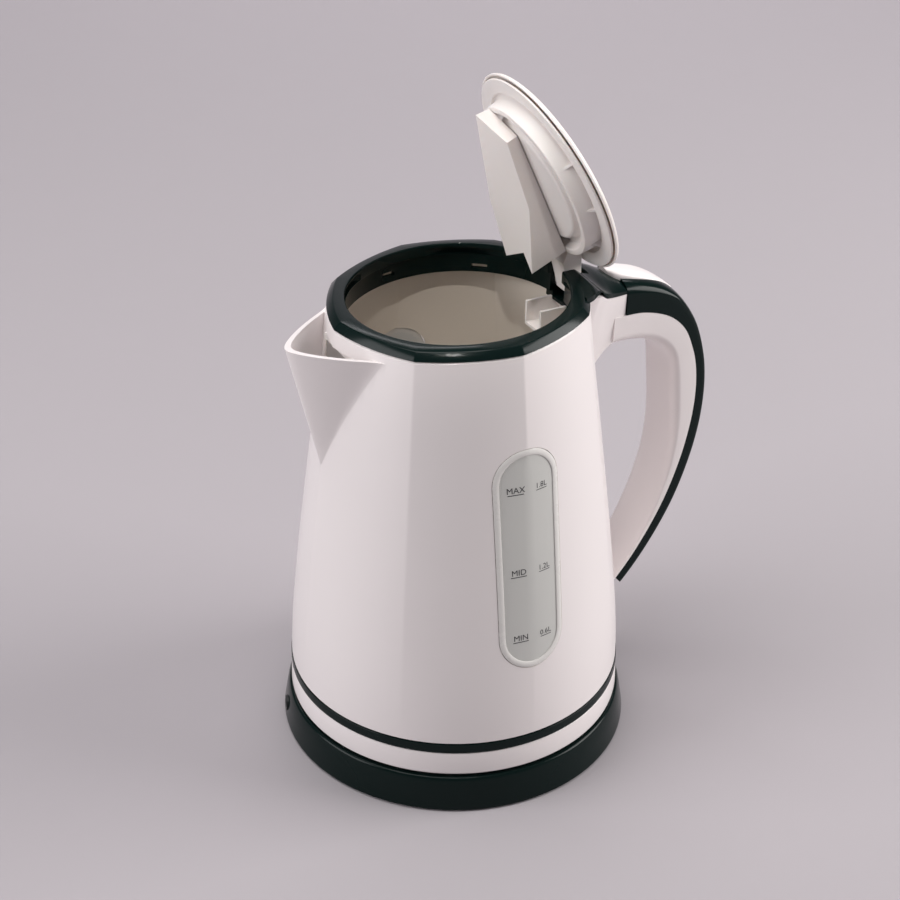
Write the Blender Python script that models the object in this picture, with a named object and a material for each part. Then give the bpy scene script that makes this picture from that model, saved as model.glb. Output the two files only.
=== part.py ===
"""Electric jug kettle on a round power base.

Frame: origin at the centre of the power base's underside, +Z up, +X towards the
handle, -X towards the spout, the two level windows facing -Y and +Y.
All drafting below is in millimetres and is scaled to metres when meshes are made.
The lid is drawn open, leaning on its spring, and the jug stands on its base.
"""

import math

import bmesh
import bpy
import numpy as np
from mathutils import Matrix, Vector

for old in list(bpy.data.objects):
    bpy.data.objects.remove(old, do_unlink=True)

# ------------------------------------------------------------------ dimensions
MM = 0.001
GAP = 0.3  # clearance between touching pieces
WALL = 2.8  # jug wall
TILT = math.tan(math.radians(1.93))  # the collar rises slightly towards the handle

BASE_R = 92.0  # power base, foot radius
BASE_TOP_R = 88.6
BASE_TOP_Z = 18.9
SEAT_Z = 16.5  # sunk seat the jug stands in
SOCKET_R = 17.3
SKIRT_R = 87.4  # white band below the stripe
SKIRT_Z = (21.2, 33.6)
STRIPE_Z = (33.9, 39.0)
BODY_Z0 = 39.3
BODY_TOP = 240.8  # body rim at x = 0; follows the tilt
PLATE_Z = 62.9  # wetted face of the heating plate
COLLAR_Z = 245.6  # collar's top face at x = 0
MOUTH_R = 53.9  # mouth at the collar's top
# facet-middle radius of the eight-sided body against height, and how far the
# corners stand out beyond it (round at the stripe, eight-sided at the collar)
BODY_Z = [39.0, 47.0, 58.5, 70.0, 93.0, 116.0, 139.0, 162.0, 185.0, 208.0, 241.1]
BODY_R = [86.6, 86.3, 85.6, 84.6, 82.1, 79.4, 76.4, 73.3, 70.2, 67.0, 62.6]
EDGE_Z = [39.0, 60.0, 93.0, 139.0, 241.1]
EDGE_R = [0.0, 0.35, 0.8, 1.3, 1.8]

SPOUT_Z0, SPOUT_Z1 = 168.0, 234.6
SPOUT_TIP = 90.0
WIN_W = 17.3  # level window, half width
WIN_Z = (79.4, 195.0)

HINGE = (62.8, 235.6)  # lid pin, x and z
LID_OPEN = math.radians(67.53)  # how far the lid stands open as drawn
LID_R = 53.1
GRIP_W = 15.5  # handle, half width

# handle profiles in the x-z plane: inner face, white/dark seam, outer face
GRIP_IN = [(80, 203.9), (88, 204.2), (95.8, 203.4), (103, 201.6), (109, 198.4), (114, 193.6), (117.2, 188),
           (118.8, 181), (119.4, 173), (120.3, 163), (121.3, 152), (121.7, 141), (121.2, 130), (119.6, 119),
           (116.8, 108), (113.2, 97.6), (108.8, 87.4), (104, 77.6), (98, 67.5), (91, 58.5), (84, 51.5)]
GRIP_MID = [(80, 220.0), (88, 220.0), (96, 219.6), (105, 217.4), (112.5, 214.2), (118.8, 209.6), (124.2, 203.2),
            (128.0, 195.0), (131.3, 184.8), (133.0, 172.6), (133.1, 160.6), (132.0, 148.8), (130.0, 137.1),
            (127.2, 125.4), (123.6, 113.9), (119.3, 102.4), (114.0, 91.1), (107.8, 79.9), (100.8, 68.9),
            (92.6, 58.2), (84.5, 48.6)]
GRIP_OUT = [(80, 235.0), (88, 234.2), (96, 233.2), (105.5, 231.0), (113, 228.0), (120.5, 222.6), (128.0, 212.6),
            (133.2, 202.0), (137.6, 187.0), (139.6, 173.5), (139.9, 160.2), (139.0, 147.2), (137.0, 134.6),
            (134.0, 122.4), (130.2, 110.4), (125.6, 98.6), (119.8, 86.9), (113.2, 75.6), (105.4, 64.2),
            (96.6, 53.4), (88.4, 44.6)]
GRIP_HALF = [15.5, 15.5, 15.5, 15.5, 15.5, 15.5, 15.5, 15.5, 15.5, 15.5, 15.5, 15.4, 15.2, 15.0, 14.8, 14.5,
             14.2, 13.9, 13.6, 13.3, 13.0]

NECK_X = [50.0, 55.0, 60.0, 62.0, 64.5, 68.0, 72.0, 76.0, 80.0, 84.0, 86.3]
NECK_HALF = [36.0, 34.0, 30.2, 28.7, 26.8, 24.1, 21.3, 19.0, 17.3, 16.0, 15.5]
NECK_CROWN = [247.2, 247.3, 247.4, 246.2, 244.6, 243.7, 243.2, 241.9, 240.0, 238.2, 237.2]
NECK_EDGE = [246.2, 246.0, 245.6, 244.4, 242.4, 240.0, 237.8, 236.0, 234.8, 234.0, 233.6]
NECK_UNDER = [243.2, 243.2, 243.2, 243.2, 243.2, 238.4, 235.4, 233.9, 232.9, 232.3, 232.1]
ROOT_X = [62.0, 66.0, 70.0, 74.0, 78.0, 82.0, 86.5]
ROOT_TOP = [241.0, 239.2, 236.0, 234.1, 233.0, 232.2, 231.7]
ROOT_LOW = [184.0, 187.5, 191.5, 197.0, 201.3, 203.4, 204.2]

BUTTON_X = [81.0, 84.0, 88.0, 94.0, 100.0, 106.0, 112.0, 117.0, 121.5]
BUTTON_HALF = [3.4, 6.2, 7.5, 8.2, 8.1, 7.6, 6.7, 5.3, 3.0]
BUTTON_TOP = [241.6, 241.2, 240.2, 238.7, 237.0, 234.4, 231.0, 227.4, 223.6]
DECK_Z = [239.5, 238.3, 236.7, 234.7, 232.7, 230.6, 228.2, 225.4, 221.6]  # cover surface round the button

WHITE = (0.83, 0.80, 0.78)
DARK = (0.012, 0.022, 0.020)
CREAM = (0.66, 0.58, 0.49)


# --------------------------------------------------------------------- helpers
def finish_of(name, rgb, rough=0.35, metal=0.0, alpha=1.0):
    mat = bpy.data.materials.new(name)
    mat.use_nodes = True
    shader = mat.node_tree.nodes["Principled BSDF"]
    shader.inputs["Base Color"].default_value = (*rgb, 1.0)
    shader.inputs["Roughness"].default_value = rough
    shader.inputs["Metallic"].default_value = metal
    shader.inputs["Alpha"].default_value = alpha
    mat.diffuse_color = (*rgb, alpha)
    return mat


def empty_at(name, x, y, z):
    axis = bpy.data.objects.new(name, None)
    axis.empty_display_size = 0.01
    axis.location = (x * MM, y * MM, z * MM)
    bpy.context.scene.collection.objects.link(axis)
    return axis


def solid(name, verts, faces, rgb=WHITE, rough=0.35, metal=0.0, alpha=1.0, pivot=None, guide=False):
    """An object from points in mm. Its origin goes to the pivot's, when it has one."""
    origin = Vector(pivot.location) if pivot else Vector((0.0, 0.0, 0.0))
    mesh = bpy.data.meshes.new(name)
    mesh.from_pydata([Vector(v) * MM - origin for v in verts], [], faces)
    bm = bmesh.new()
    bm.from_mesh(mesh)
    bmesh.ops.remove_doubles(bm, verts=bm.verts, dist=2e-7)
    bmesh.ops.recalc_face_normals(bm, faces=bm.faces)
    bm.to_mesh(mesh)
    bm.free()
    obj = bpy.data.objects.new(name, mesh)
    bpy.context.scene.collection.objects.link(obj)
    if pivot:
        obj.parent = pivot
    if guide:
        obj.hide_render = True
        obj.display_type = "WIRE"
    else:
        mesh.materials.append(finish_of(name + "_finish", rgb, rough, metal, alpha))
        mesh.shade_smooth()
        mesh.set_sharp_from_angle(angle=math.radians(32))
    return obj


def loft(rings, close=False):
    """Skin a list of equal rings. Ends are capped, or joined to each other."""
    count = len(rings[0])
    verts = [tuple(p) for ring in rings for p in ring]
    faces = []
    spans = len(rings) if close else len(rings) - 1
    for i in range(spans):
        a, b = i * count, ((i + 1) % len(rings)) * count
        for j in range(count):
            k = (j + 1) % count
            faces.append((a + j, a + k, b + k, b + j))
    if not close:
        faces.append(tuple(range(count)))
        faces.append(tuple(range((len(rings) - 1) * count, len(rings) * count)))
    return verts, faces


def turned(profile, steps=48, centre=(0.0, 0.0, 0.0), frame=None):
    """Turn a closed (radius, height) outline about the vertical, or about a given frame's third axis."""
    verts, faces, rows = [], [], []
    for r, z in profile:
        if r < 1e-6:
            rows.append([len(verts)] * steps)
            verts.append((0.0, 0.0, z))
        else:
            row = []
            for i in range(steps):
                a = 2 * math.pi * i / steps
                row.append(len(verts))
                verts.append((r * math.cos(a), r * math.sin(a), z))
            rows.append(row)
    n = len(profile)
    for i in range(n):
        a, b = rows[i], rows[(i + 1) % n]
        if a[0] == a[1] and b[0] == b[1]:
            continue
        if (a[0] == a[1] or b[0] == b[1]) and abs(profile[i][1] - profile[(i + 1) % n][1]) < 1e-6:
            faces.append(tuple(b if a[0] == a[1] else a))
            continue
        for j in range(steps):
            k = (j + 1) % steps
            face = []
            for v in (a[j], a[k], b[k], b[j]):
                if v not in face:
                    face.append(v)
            if len(face) > 2:
                faces.append(tuple(face))
    out = []
    for x, y, z in verts:
        p = Vector((x, y, z))
        if frame:
            p = frame @ p
        out.append((p.x + centre[0], p.y + centre[1], p.z + centre[2]))
    return out, faces


def block(x0, x1, y0, y1, z0, z1):
    return loft([[(x0, y0, z0), (x1, y0, z0), (x1, y1, z0), (x0, y1, z0)],
                 [(x0, y0, z1), (x1, y0, z1), (x1, y1, z1), (x0, y1, z1)]])


def rod(p, q, radius, steps=16):
    """A straight round bar from p to q."""
    p, q = Vector(p), Vector(q)
    spin = (q - p).to_track_quat("Z", "Y").to_matrix()
    rings = []
    for end in (p, q):
        rings.append([tuple(end + spin @ Vector((radius * math.cos(2 * math.pi * i / steps),
                                                 radius * math.sin(2 * math.pi * i / steps), 0.0)))
                      for i in range(steps)])
    return loft(rings)


def helix(centre, axis, radius, wire, length, turns, steps=9, sides=5):
    """A coil of round wire about an axis, starting at centre."""
    spin = Vector(axis).to_track_quat("Z", "Y").to_matrix()
    rings = []
    total = int(turns * steps)
    for i in range(total + 1):
        a = 2 * math.pi * turns * i / total
        out = Vector((math.cos(a), math.sin(a), 0.0))
        mid = out * radius + Vector((0, 0, length * i / total))
        ring = []
        for j in range(sides):
            b = 2 * math.pi * j / sides
            ring.append(tuple(Vector(centre) + spin @ (mid + out * wire * math.cos(b) + Vector((0, 0, wire * math.sin(b))))))
        rings.append(ring)
    return loft(rings)


def shape(obj, other, operation):
    mod = obj.modifiers.new(other.name, "BOOLEAN")
    mod.operation = operation
    mod.solver = "EXACT"
    mod.object = other


def cut(obj, *cutters):
    for cutter in cutters:
        shape(obj, cutter, "DIFFERENCE")


def join(obj, *others):
    for other in others:
        shape(obj, other, "UNION")


def smooth_at(xs, ys, x):
    """Monotone cubic through the points, so that drawn profiles have no kinks."""
    n = len(xs)
    h = [xs[i + 1] - xs[i] for i in range(n - 1)]
    d = [(ys[i + 1] - ys[i]) / h[i] for i in range(n - 1)]
    m = [d[0]] + [0.0] * (n - 2) + [d[-1]]
    for i in range(1, n - 1):
        if d[i - 1] * d[i] > 0:
            m[i] = (h[i - 1] + h[i]) * 3 / ((2 * h[i] + h[i - 1]) / d[i - 1] + (h[i] + 2 * h[i - 1]) / d[i])
    x = min(max(x, xs[0]), xs[-1])
    i = min(max(int(np.searchsorted(xs, x)) - 1, 0), n - 2)
    t = (x - xs[i]) / h[i]
    return (ys[i] * (1 + 2 * t) * (1 - t) ** 2 + m[i] * h[i] * t * (1 - t) ** 2
            + ys[i + 1] * t * t * (3 - 2 * t) + m[i + 1] * h[i] * t * t * (t - 1))


def eight_sided(theta, mid, edge):
    """Radius of an octagon with bulged sides: mid at a side's middle, mid + edge at its corners."""
    half = math.pi / 8
    phi = theta % (math.pi / 4) - half
    corner = mid + edge
    h = corner * math.sin(half)
    s = mid - corner * math.cos(half)
    rho = (h * h + s * s) / (2 * s)
    d = mid - rho
    return d * math.cos(phi) + math.sqrt(rho * rho - (d * math.sin(phi)) ** 2)


def body_r(theta, z):
    return eight_sided(theta, smooth_at(BODY_Z, BODY_R, z), float(np.interp(z, EDGE_Z, EDGE_R)))


def body_x(y, z, inset=0.0):
    """Distance from the axis plane to the body surface at a side offset y."""
    x = 60.0
    for _ in range(12):
        r = body_r(math.atan2(y, x), z) - inset
        x = math.sqrt(max(r * r - y * y, 1.0))
    return x


# ----------------------------------------------------------------- power base
base_cover = solid("base_cover", *turned([
    (BASE_R, 1.0), (91.7, 3.0), (90.6, 9.5), (89.5, 15.5), (BASE_TOP_R, 18.2), (87.8, BASE_TOP_Z), (84.9, BASE_TOP_Z),
    (84.1, SEAT_Z), (SOCKET_R + GAP, SEAT_Z), (SOCKET_R + GAP, SEAT_Z - 2.2), (85.4, SEAT_Z - 2.2), (87.6, 12.0),
    (88.8, 6.0), (89.3, 1.0)], 52), rgb=DARK, rough=0.32)

GLAND_A = math.radians(163.0)  # where the mains lead would enter the base
gx, gy = math.cos(GLAND_A), math.sin(GLAND_A)


def radial(r, z=8.0):
    return (r * gx, r * gy, z)


gland_hole = solid("gland_hole", *rod(radial(80), radial(99), 4.0 + GAP), guide=True)
cut(base_cover, gland_hole)
frame_g = Matrix(((-gy, 0, gx), (gx, 0, gy), (0, 1, 0)))
cord_gland = solid("cord_gland", *turned([
    (2.6, 91.6), (4.0, 91.6), (4.0, 85.2), (4.9, 85.2), (4.9, 83.0), (2.6, 83.0)], 16, (0, 0, 8.0), frame_g),
    rgb=(0.01, 0.01, 0.01), rough=0.6)

bottom_plate = solid("base_bottom_plate", *turned([(0, 0.8), (88.5, 0.8), (88.3, 2.8), (0, 2.8)], 48),
                     rgb=(0.02, 0.02, 0.022), rough=0.5)
foot_spots = [(70 * math.cos(math.radians(a)), 70 * math.sin(math.radians(a))) for a in (45, 135, 225, 315)]
screw_spots = [(50 * math.cos(math.radians(a)), 50 * math.sin(math.radians(a))) for a in (8, 128, 248)]
for i, (x, y) in enumerate(foot_spots, 1):
    cut(bottom_plate, solid(f"foot_hole_{i}", *rod((x, y, -1), (x, y, 5), 7.0, 20), guide=True))
    solid(f"base_foot_{i}", *turned([(0, 0.0), (5.6, 0.0), (6.6, 0.6), (6.6, 2.4), (6.0, 3.4), (0, 3.4)], 20, (x, y, 0)),
          rgb=(0.03, 0.03, 0.03), rough=0.8)
for i, (x, y) in enumerate(screw_spots, 1):
    cut(bottom_plate, solid(f"screw_hole_{i}", *rod((x, y, -1), (x, y, 5), 3.4, 16), guide=True))
    solid(f"base_screw_{i}", *turned([(0, 1.1), (3.0, 1.1), (3.0, 3.0), (1.4, 3.2), (1.4, 11.5), (0, 12.5)], 12, (x, y, 0)),
          rgb=(0.6, 0.6, 0.6), rough=0.3, metal=1.0)

solid("base_socket", *turned([
    (0, 4.0), (SOCKET_R - 1.5, 4.0), (SOCKET_R, 5.0), (SOCKET_R, 26.0), (SOCKET_R - 1.2, 27.0), (14.2, 27.0), (14.2, 19.0),
    (11.4, 19.0), (11.4, 27.0), (8.8, 27.0), (8.8, 13.0), (5.8, 13.0), (5.8, 27.0), (2.8, 27.0), (2.8, 11.0), (0, 11.0)],
    28), rgb=(0.015, 0.018, 0.018), rough=0.4)
solid("base_contact_inner", *turned([(6.1, 13.3), (8.5, 13.3), (8.5, 15.2), (6.1, 15.2)], 24),
      rgb=(0.72, 0.52, 0.22), rough=0.3, metal=1.0)
solid("base_contact_outer", *turned([(11.7, 19.3), (13.9, 19.3), (13.9, 20.4), (11.7, 20.4)], 28),
      rgb=(0.72, 0.52, 0.22), rough=0.3, metal=1.0)

# ------------------------------------------- connector, jug side (lifts with the jug)
lift_axis = empty_at("lift_axis", 0, 0, 27.4)
solid("jug_connector", *turned([
    (3.0, 27.4), (3.0, 31.5), (0, 31.5), (0, 36.0), (19.0, 36.0), (20.0, 35.0), (20.0, 27.4), (13.7, 27.4), (13.7, 21.2),
    (11.9, 21.2), (11.9, 27.4), (8.5, 27.4)], 28), rgb=(0.02, 0.02, 0.022), rough=0.45, pivot=lift_axis)
solid("connector_pin", *turned([(0, 12.6), (1.6, 13.4), (2.2, 14.6), (2.2, 31.2), (0, 31.2)], 16),
      rgb=(0.72, 0.52, 0.22), rough=0.25, metal=1.0, pivot=lift_axis)
solid("connector_ring", *turned([(6.5, 16.2), (8.1, 16.2), (8.1, 27.1), (6.5, 27.1)], 24),
      rgb=(0.72, 0.52, 0.22), rough=0.25, metal=1.0, pivot=lift_axis)

# ------------------------------------------------------------------------ jug
THETA = [math.radians(7.5 * i) for i in range(48)]


def rim_z(theta, z0):
    return z0 + body_r(theta, 240.0) * math.cos(theta) * TILT


heights = [BODY_Z0, 56, 82, 118, 162, 208]
rings = []
for th in THETA:
    c, s = math.cos(th), math.sin(th)
    top = rim_z(th, BODY_TOP)
    ring = [(body_r(th, z), z) for z in heights] + [(body_r(th, 240.5), top)]
    ring += [(body_r(th, 240.5) - WALL, top)]
    ring += [(body_r(th, z) - WALL, z) for z in (208, 162, 118, 82, 63.5)]
    ring += [(body_r(th, 60) - WALL - 0.4, 59.5), (62.0, 59.5), (62.0, 57.0), (body_r(th, 55) - WALL, 57.0),
             (body_r(th, BODY_Z0) - WALL, BODY_Z0)]
    rings.append([(r * c, r * s, z) for r, z in ring])
body_shell = solid("body_shell", *loft(rings, close=True), rough=0.28)


def beak_half(t):
    return 30.6 * (0.92 * t + 0.08 * t * t) + 0.6


def beak_z(t):
    return SPOUT_Z0 + (SPOUT_Z1 - SPOUT_Z0) * t


def beak_front(t, y):
    """Distance of the beak's outer face from the axis plane at level t, side offset y: it fades into the wall."""
    full = math.sqrt(1.0256) - 0.16
    line = 1 - (math.sqrt((y / beak_half(t)) ** 2 + 0.0256) - 0.16) / full
    line = 0.5 * (line + math.sqrt(line * line + 0.012)) - 0.034
    wall = body_x(abs(y), beak_z(t))
    return wall + (73.4 + (SPOUT_TIP - 73.4) * t - wall) * line


def beak_outer(t):
    """Plan outline of the beak at a level: t is 0 at its foot and 1 at its rim."""
    side = beak_half(t) * 1.12
    ring = [(-beak_front(t, side * i / 8), side * i / 8, beak_z(t)) for i in range(-8, 9)]
    return ring + [(-body_x(abs(side * k / 3), beak_z(t), 1.6), side * k / 3, beak_z(t)) for k in (2, 1, 0, -1, -2)]


def beak_inner(t):
    """Plan outline of the channel in the beak, 3.2 mm inside its outer face."""
    s = min(t, 1.0)
    low, high = 0.0, beak_half(s)
    for _ in range(24):
        side = (low + high) / 2
        if beak_front(s, side) - 3.2 - body_x(side, beak_z(s), 0.35) > 0.6:
            low = side
        else:
            high = side
    ring = [(3.2 - beak_front(s, side * i / 6), side * i / 6, beak_z(t)) for i in range(-6, 7)]
    return ring + [(-body_x(abs(side * k / 3), beak_z(s), 0.35), side * k / 3, beak_z(t)) for k in (2, 1, 0, -1, -2)]


spout_beak = solid("spout_beak", *loft([beak_outer(t) for t in (0.02, 0.15, 0.35, 0.6, 0.8, 1.0)]), rough=0.28)
spout_inner = solid("spout_inner", *loft([beak_inner(t) for t in (0.25, 0.4, 0.6, 0.8, 1.0, 1.2)]), guide=True)


def throat(x0, x1, grow):
    """Prism through the wall behind the beak, wide at the top, narrow at the bottom."""
    outline = [(-16 - grow, 230.5 + grow), (-16 - grow, 220), (-6 - grow * 0.7, 190 - grow), (6 + grow * 0.7, 190 - grow),
               (16 + grow, 220), (16 + grow, 230.5 + grow)]
    return outline, loft([[(x0, y, z) for y, z in outline], [(x1, y, z) for y, z in outline]])


throat_cut = solid("throat_cut", *throat(-74.0, -50.0, GAP)[1], guide=True)

# handle root: flares into the body below the collar's neck
root_rings = []
for n, x in enumerate(ROOT_X):
    low, top, w = ROOT_LOW[n], ROOT_TOP[n], float(np.interp(x, NECK_X, NECK_HALF)) - 0.4
    right = []
    for f in (0.0, 0.06, 0.16, 0.35, 0.6, 0.82, 1.0):
        z = low + (top - low) * f
        flat = 14.2 + (w - 14.2) * f ** 1.6
        y = flat * (0.66 if f == 0 else 0.93 if f == 0.06 else 1.0)
        right.append((y, z))
    ring = [(-y, z) for y, z in reversed(right)] + right
    if n == 0:
        root_rings.append([(48.0, y, z) for y, z in ring])
    root_rings.append([(x, y, z) for y, z in ring])
handle_root = solid("handle_root", *loft(root_rings), guide=True)
skin_rings = [[((body_r(th, z) + GAP) * math.cos(th), (body_r(th, z) + GAP) * math.sin(th), z) for th in THETA]
              for z in (30.0, 56, 82, 118, 162, 208, 248.0)]
body_skin = solid("body_skin", *loft(skin_rings), guide=True)


def between(a, b, t):
    return (a[0] + (b[0] - a[0]) * t, a[1] + (b[1] - a[1]) * t)


def grip_section(n, t0, t1, shrink, round_in=0.22):
    """Section of the white half of the handle at station n, from t0 to t1 of inner face to seam."""
    p, q, w = GRIP_IN[n], GRIP_MID[n], GRIP_HALF[n] - shrink
    rows = [(t0, w * 0.62), (t0 + round_in * 0.25 * (t1 - t0), w * 0.88), (t0 + round_in * (t1 - t0), w), (t1, w)]
    ring = []
    for t, y in reversed(rows):
        x, z = between(p, q, t)
        ring.append((x, -y, z))
    for t, y in rows:
        x, z = between(p, q, t)
        ring.append((x, y, z))
    return ring


count = len(GRIP_IN)
handle_grip = solid("handle_grip", *loft([grip_section(n, 0.0, 1.0, 0.0) for n in range(count)]), rough=0.28)
handle_channel = solid("handle_channel", *loft([grip_section(n, 0.34, 1.3, 3.0, 0.1) for n in range(4, 17)]), guide=True)
steam_bore = solid("steam_bore", *rod((58, 0, 221.6), (115, 0, 204.0), 3.4, 12), guide=True)
hinge_pocket = solid("hinge_pocket", *block(54, 78, -13.3, 13.3, 226.0, 262), guide=True)
latch_channel = solid("latch_channel", *block(76, 96, -4.7, 4.7, 227.6, 262), guide=True)
join(handle_grip, handle_root)
cut(handle_grip, body_skin, handle_channel, steam_bore, hinge_pocket, latch_channel)
cut(spout_beak, body_skin, spout_inner)


def window_rings(half, z0, z1, out, deep, rows, cols):
    """Sheet that follows the body over a slot-shaped outline on the -Y corner."""
    front, back = [], []
    for i in range(rows + 1):
        f = 0.5 - 0.5 * math.cos(math.pi * i / rows)
        z = z0 + (z1 - z0) * f
        d = min(z - z0, z1 - z)
        w = math.sqrt(max(half * half - (half - d) ** 2, 0.0)) if d < half else half
        w = max(w, 0.12 * half)
        row_f, row_b = [], []
        for j in range(cols + 1):
            x = w * (-1 + 2 * j / cols)
            y = body_y(x, z)
            k = math.hypot(x, y)
            row_f.append((x * (k + out) / k, -y * (k + out) / k, z))
            row_b.append((x * (k - deep) / k, -y * (k - deep) / k, z))
        front.append(row_f)
        back.append(row_b)
    return [f + list(reversed(b)) for f, b in zip(front, back)]


def body_y(x, z):
    y = 70.0
    for _ in range(12):
        r = body_r(math.atan2(-y, x), z)
        y = math.sqrt(max(r * r - x * x, 1.0))
    return y


def mirrored(data):
    verts, faces = data
    return [(x, -y, z) for x, y, z in verts], faces


window_cut = loft(window_rings(WIN_W + GAP, WIN_Z[0] - GAP, WIN_Z[1] + GAP, 6.0, 8.0, 12, 4))
window_pane = loft(window_rings(WIN_W, WIN_Z[0], WIN_Z[1], 0.25, WALL - 0.4, 12, 6))
front_cut = solid("front_window_cut", *window_cut, guide=True)
rear_cut = solid("rear_window_cut", *mirrored(window_cut), guide=True)
cut(body_shell, steam_bore, throat_cut, hinge_pocket, front_cut, rear_cut)
for name, data in (("gauge_window_front", window_pane), ("gauge_window_rear", mirrored(window_pane))):
    solid(name, *data, rgb=(0.62, 0.62, 0.60), rough=0.2, alpha=0.55)

# skirt with its floor, stripe ring
skirt = solid("bottom_skirt", *turned([
    (SKIRT_R - 0.4, SKIRT_Z[1]), (SKIRT_R, SKIRT_Z[0]), (SKIRT_R - 0.7, 20.5), (83.7, 20.4), (83.1, SEAT_Z + GAP),
    (22.0, SEAT_Z + GAP), (22.0, 18.8), (80.5, 18.8), (84.4, 22.5), (84.4, SKIRT_Z[1])], 52), rough=0.28)
switch_slot = solid("switch_slot", *block(79, 95, -8.6, 8.6, 22.6, 32.0), guide=True)
cut(skirt, switch_slot)
for i, (x, y) in enumerate(((57.3, 9.1), (-36.5, 45.1), (-20.8, -54.2)), 1):
    cut(skirt, solid(f"skirt_hole_{i}", *rod((x, y, 10), (x, y, 24), 3.4, 16), guide=True))
    solid(f"skirt_screw_{i}", *turned([(0, 17.1), (3.0, 17.1), (3.0, 19.2), (1.5, 19.4), (1.5, 33.0), (0, 34.0)], 12, (x, y, 0)),
          rgb=(0.6, 0.6, 0.6), rough=0.3, metal=1.0)
solid("stripe_ring", *turned([(86.9, STRIPE_Z[1]), (87.1, STRIPE_Z[0] + 0.4), (86.9, STRIPE_Z[0]), (84.0, STRIPE_Z[0]), (84.0, STRIPE_Z[1])], 52),
      rgb=DARK, rough=0.25)

# wet floor and heating
solid("heating_plate", *turned([(0, PLATE_Z), (70.6, PLATE_Z), (71.4, PLATE_Z - 0.5), (71.4, 61.7), (0, 61.7)], 40),
      rgb=(0.72, 0.72, 0.72), rough=0.25, metal=1.0)
solid("plate_seal", *turned([(63.2, 59.8), (70.8, 59.8), (70.8, 61.4), (63.2, 61.4)], 36),
      rgb=(0.55, 0.2, 0.12), rough=0.7)
solid("heating_element", *turned([(45 + 4 * math.cos(2 * math.pi * i / 8), 57.2 + 4 * math.sin(2 * math.pi * i / 8))
                                  for i in range(8)], 28), rgb=(0.5, 0.5, 0.5), rough=0.4, metal=1.0)
solid("thermal_controller", *turned([(0, 36.4), (24.0, 36.4), (26.0, 38.0), (26.0, 46.5), (14.0, 46.8), (14.0, 52.0), (0, 52.0)], 24),
      rgb=(0.55, 0.52, 0.46), rough=0.5)
solid("thermal_disc", *turned([(0, 53.5), (9.5, 52.5), (10.0, 52.9), (10.0, 53.4), (0, 54.4)], 24),
      rgb=(0.7, 0.66, 0.55), rough=0.35, metal=1.0)
solid("boil_sensor_disc", *block(67.0, 67.8, -7.0, 7.0, 38.0, 52.0), rgb=(0.7, 0.66, 0.55), rough=0.35, metal=1.0)

# steam inlet at the handle side, below the lid hinge, and the pipe in the grip
inlet = solid("steam_inlet", *loft([[(42.0, y, 215.6), (61.9, y, 215.6), (61.9, y, 225.7), (56.4, y, 225.7), (56.4, y, 228.4),
                                     (42.0, y, 228.4)] for y in (-7.7, 7.7)]), rough=0.4)
cut(inlet, solid("inlet_hollow", *loft([[(40.0, y, 217.2), (60.4, y, 217.2), (60.4, y, 224.6), (60.4, y, 240.0),
                                         (40.0, y, 240.0)] for y in (-6.2, 6.2)]), guide=True))
cut(inlet, solid("inlet_bore", *rod((58, 0, 221.2), (66, 0, 220.0), 3.0, 12), guide=True))
path = [between(GRIP_IN[n], GRIP_MID[n], 0.82) for n in range(5, 14)]
pipe_rings = []
for radius in (2.4, 1.6):
    run = []
    for i, (x, z) in enumerate(path):
        ax, az = path[max(i - 1, 0)]
        bx, bz = path[min(i + 1, len(path) - 1)]
        t = Vector((bx - ax, 0, bz - az)).normalized()
        side = Vector((0, 1, 0))
        up = t.cross(side)
        run.append([tuple(Vector((x, 0, z)) + side * radius * math.cos(2 * math.pi * j / 10)
                          + up * radius * math.sin(2 * math.pi * j / 10)) for j in range(10)])
    pipe_rings.append(run)
solid("steam_pipe", *loft(pipe_rings[0] + pipe_rings[1][::-1], close=True), rgb=(0.8, 0.8, 0.78), rough=0.5)

# spout filter: frame and mesh panel standing in the throat
outline = throat(0, 0, 0.0)[0]


def leaning(x, y, z):
    return (-(67.2 - (z - 190) * 0.14) + x, y, z)


frame_rings = []
inner = [(y * 0.84, 193.0 + (z - 190) * 0.86) for y, z in outline]
frame_rings = [[leaning(-1.0, y, z) for y, z in outline], [leaning(1.0, y, z) for y, z in outline],
               [leaning(1.0, y, z) for y, z in inner], [leaning(-1.0, y, z) for y, z in inner]]
solid("filter_frame", *loft(frame_rings, close=True), rough=0.35)
panel = [(y * 0.815, 193.5 + (z - 190) * 0.845) for y, z in outline]
solid("filter_mesh", *loft([[leaning(-0.3, y, z) for y, z in panel], [leaning(0.3, y, z) for y, z in panel]]),
      rgb=(0.6, 0.6, 0.6), rough=0.4, metal=0.8)

# ---------------------------------------------------------------------- collar
rings = []
for th in THETA:
    c, s = math.cos(th), math.sin(th)
    section = [(eight_sided(th, 62.9, 1.8), -4.4), (eight_sided(th, 59.6, 1.8), -0.8), (MOUTH_R + 0.5, 0.0),
               (MOUTH_R, -0.6), (MOUTH_R, -6.2), (55.9, -6.9), (55.4, -16.5), (58.2, -16.5), (58.2, -4.9),
               (eight_sided(th, 61.2, 1.8), -4.5)]
    rings.append([(r * c, r * s, COLLAR_Z + r * c * TILT + dz) for r, dz in section])
collar = solid("collar", *loft(rings, close=True), rgb=DARK, rough=0.16)
neck_rings = []
for n, x in enumerate(NECK_X):
    w, crown, edge, under = NECK_HALF[n], NECK_CROWN[n], NECK_EDGE[n], NECK_UNDER[n]
    ring = [(x, -w, under)]
    for f in (-1.0, -0.8, -0.55, -0.28, 0.0, 0.28, 0.55, 0.8, 1.0):
        ring.append((x, w * f, crown - (crown - edge) * f * f))
    ring.append((x, w, under))
    neck_rings.append(ring)
neck = solid("neck", *loft(neck_rings), guide=True)
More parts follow.
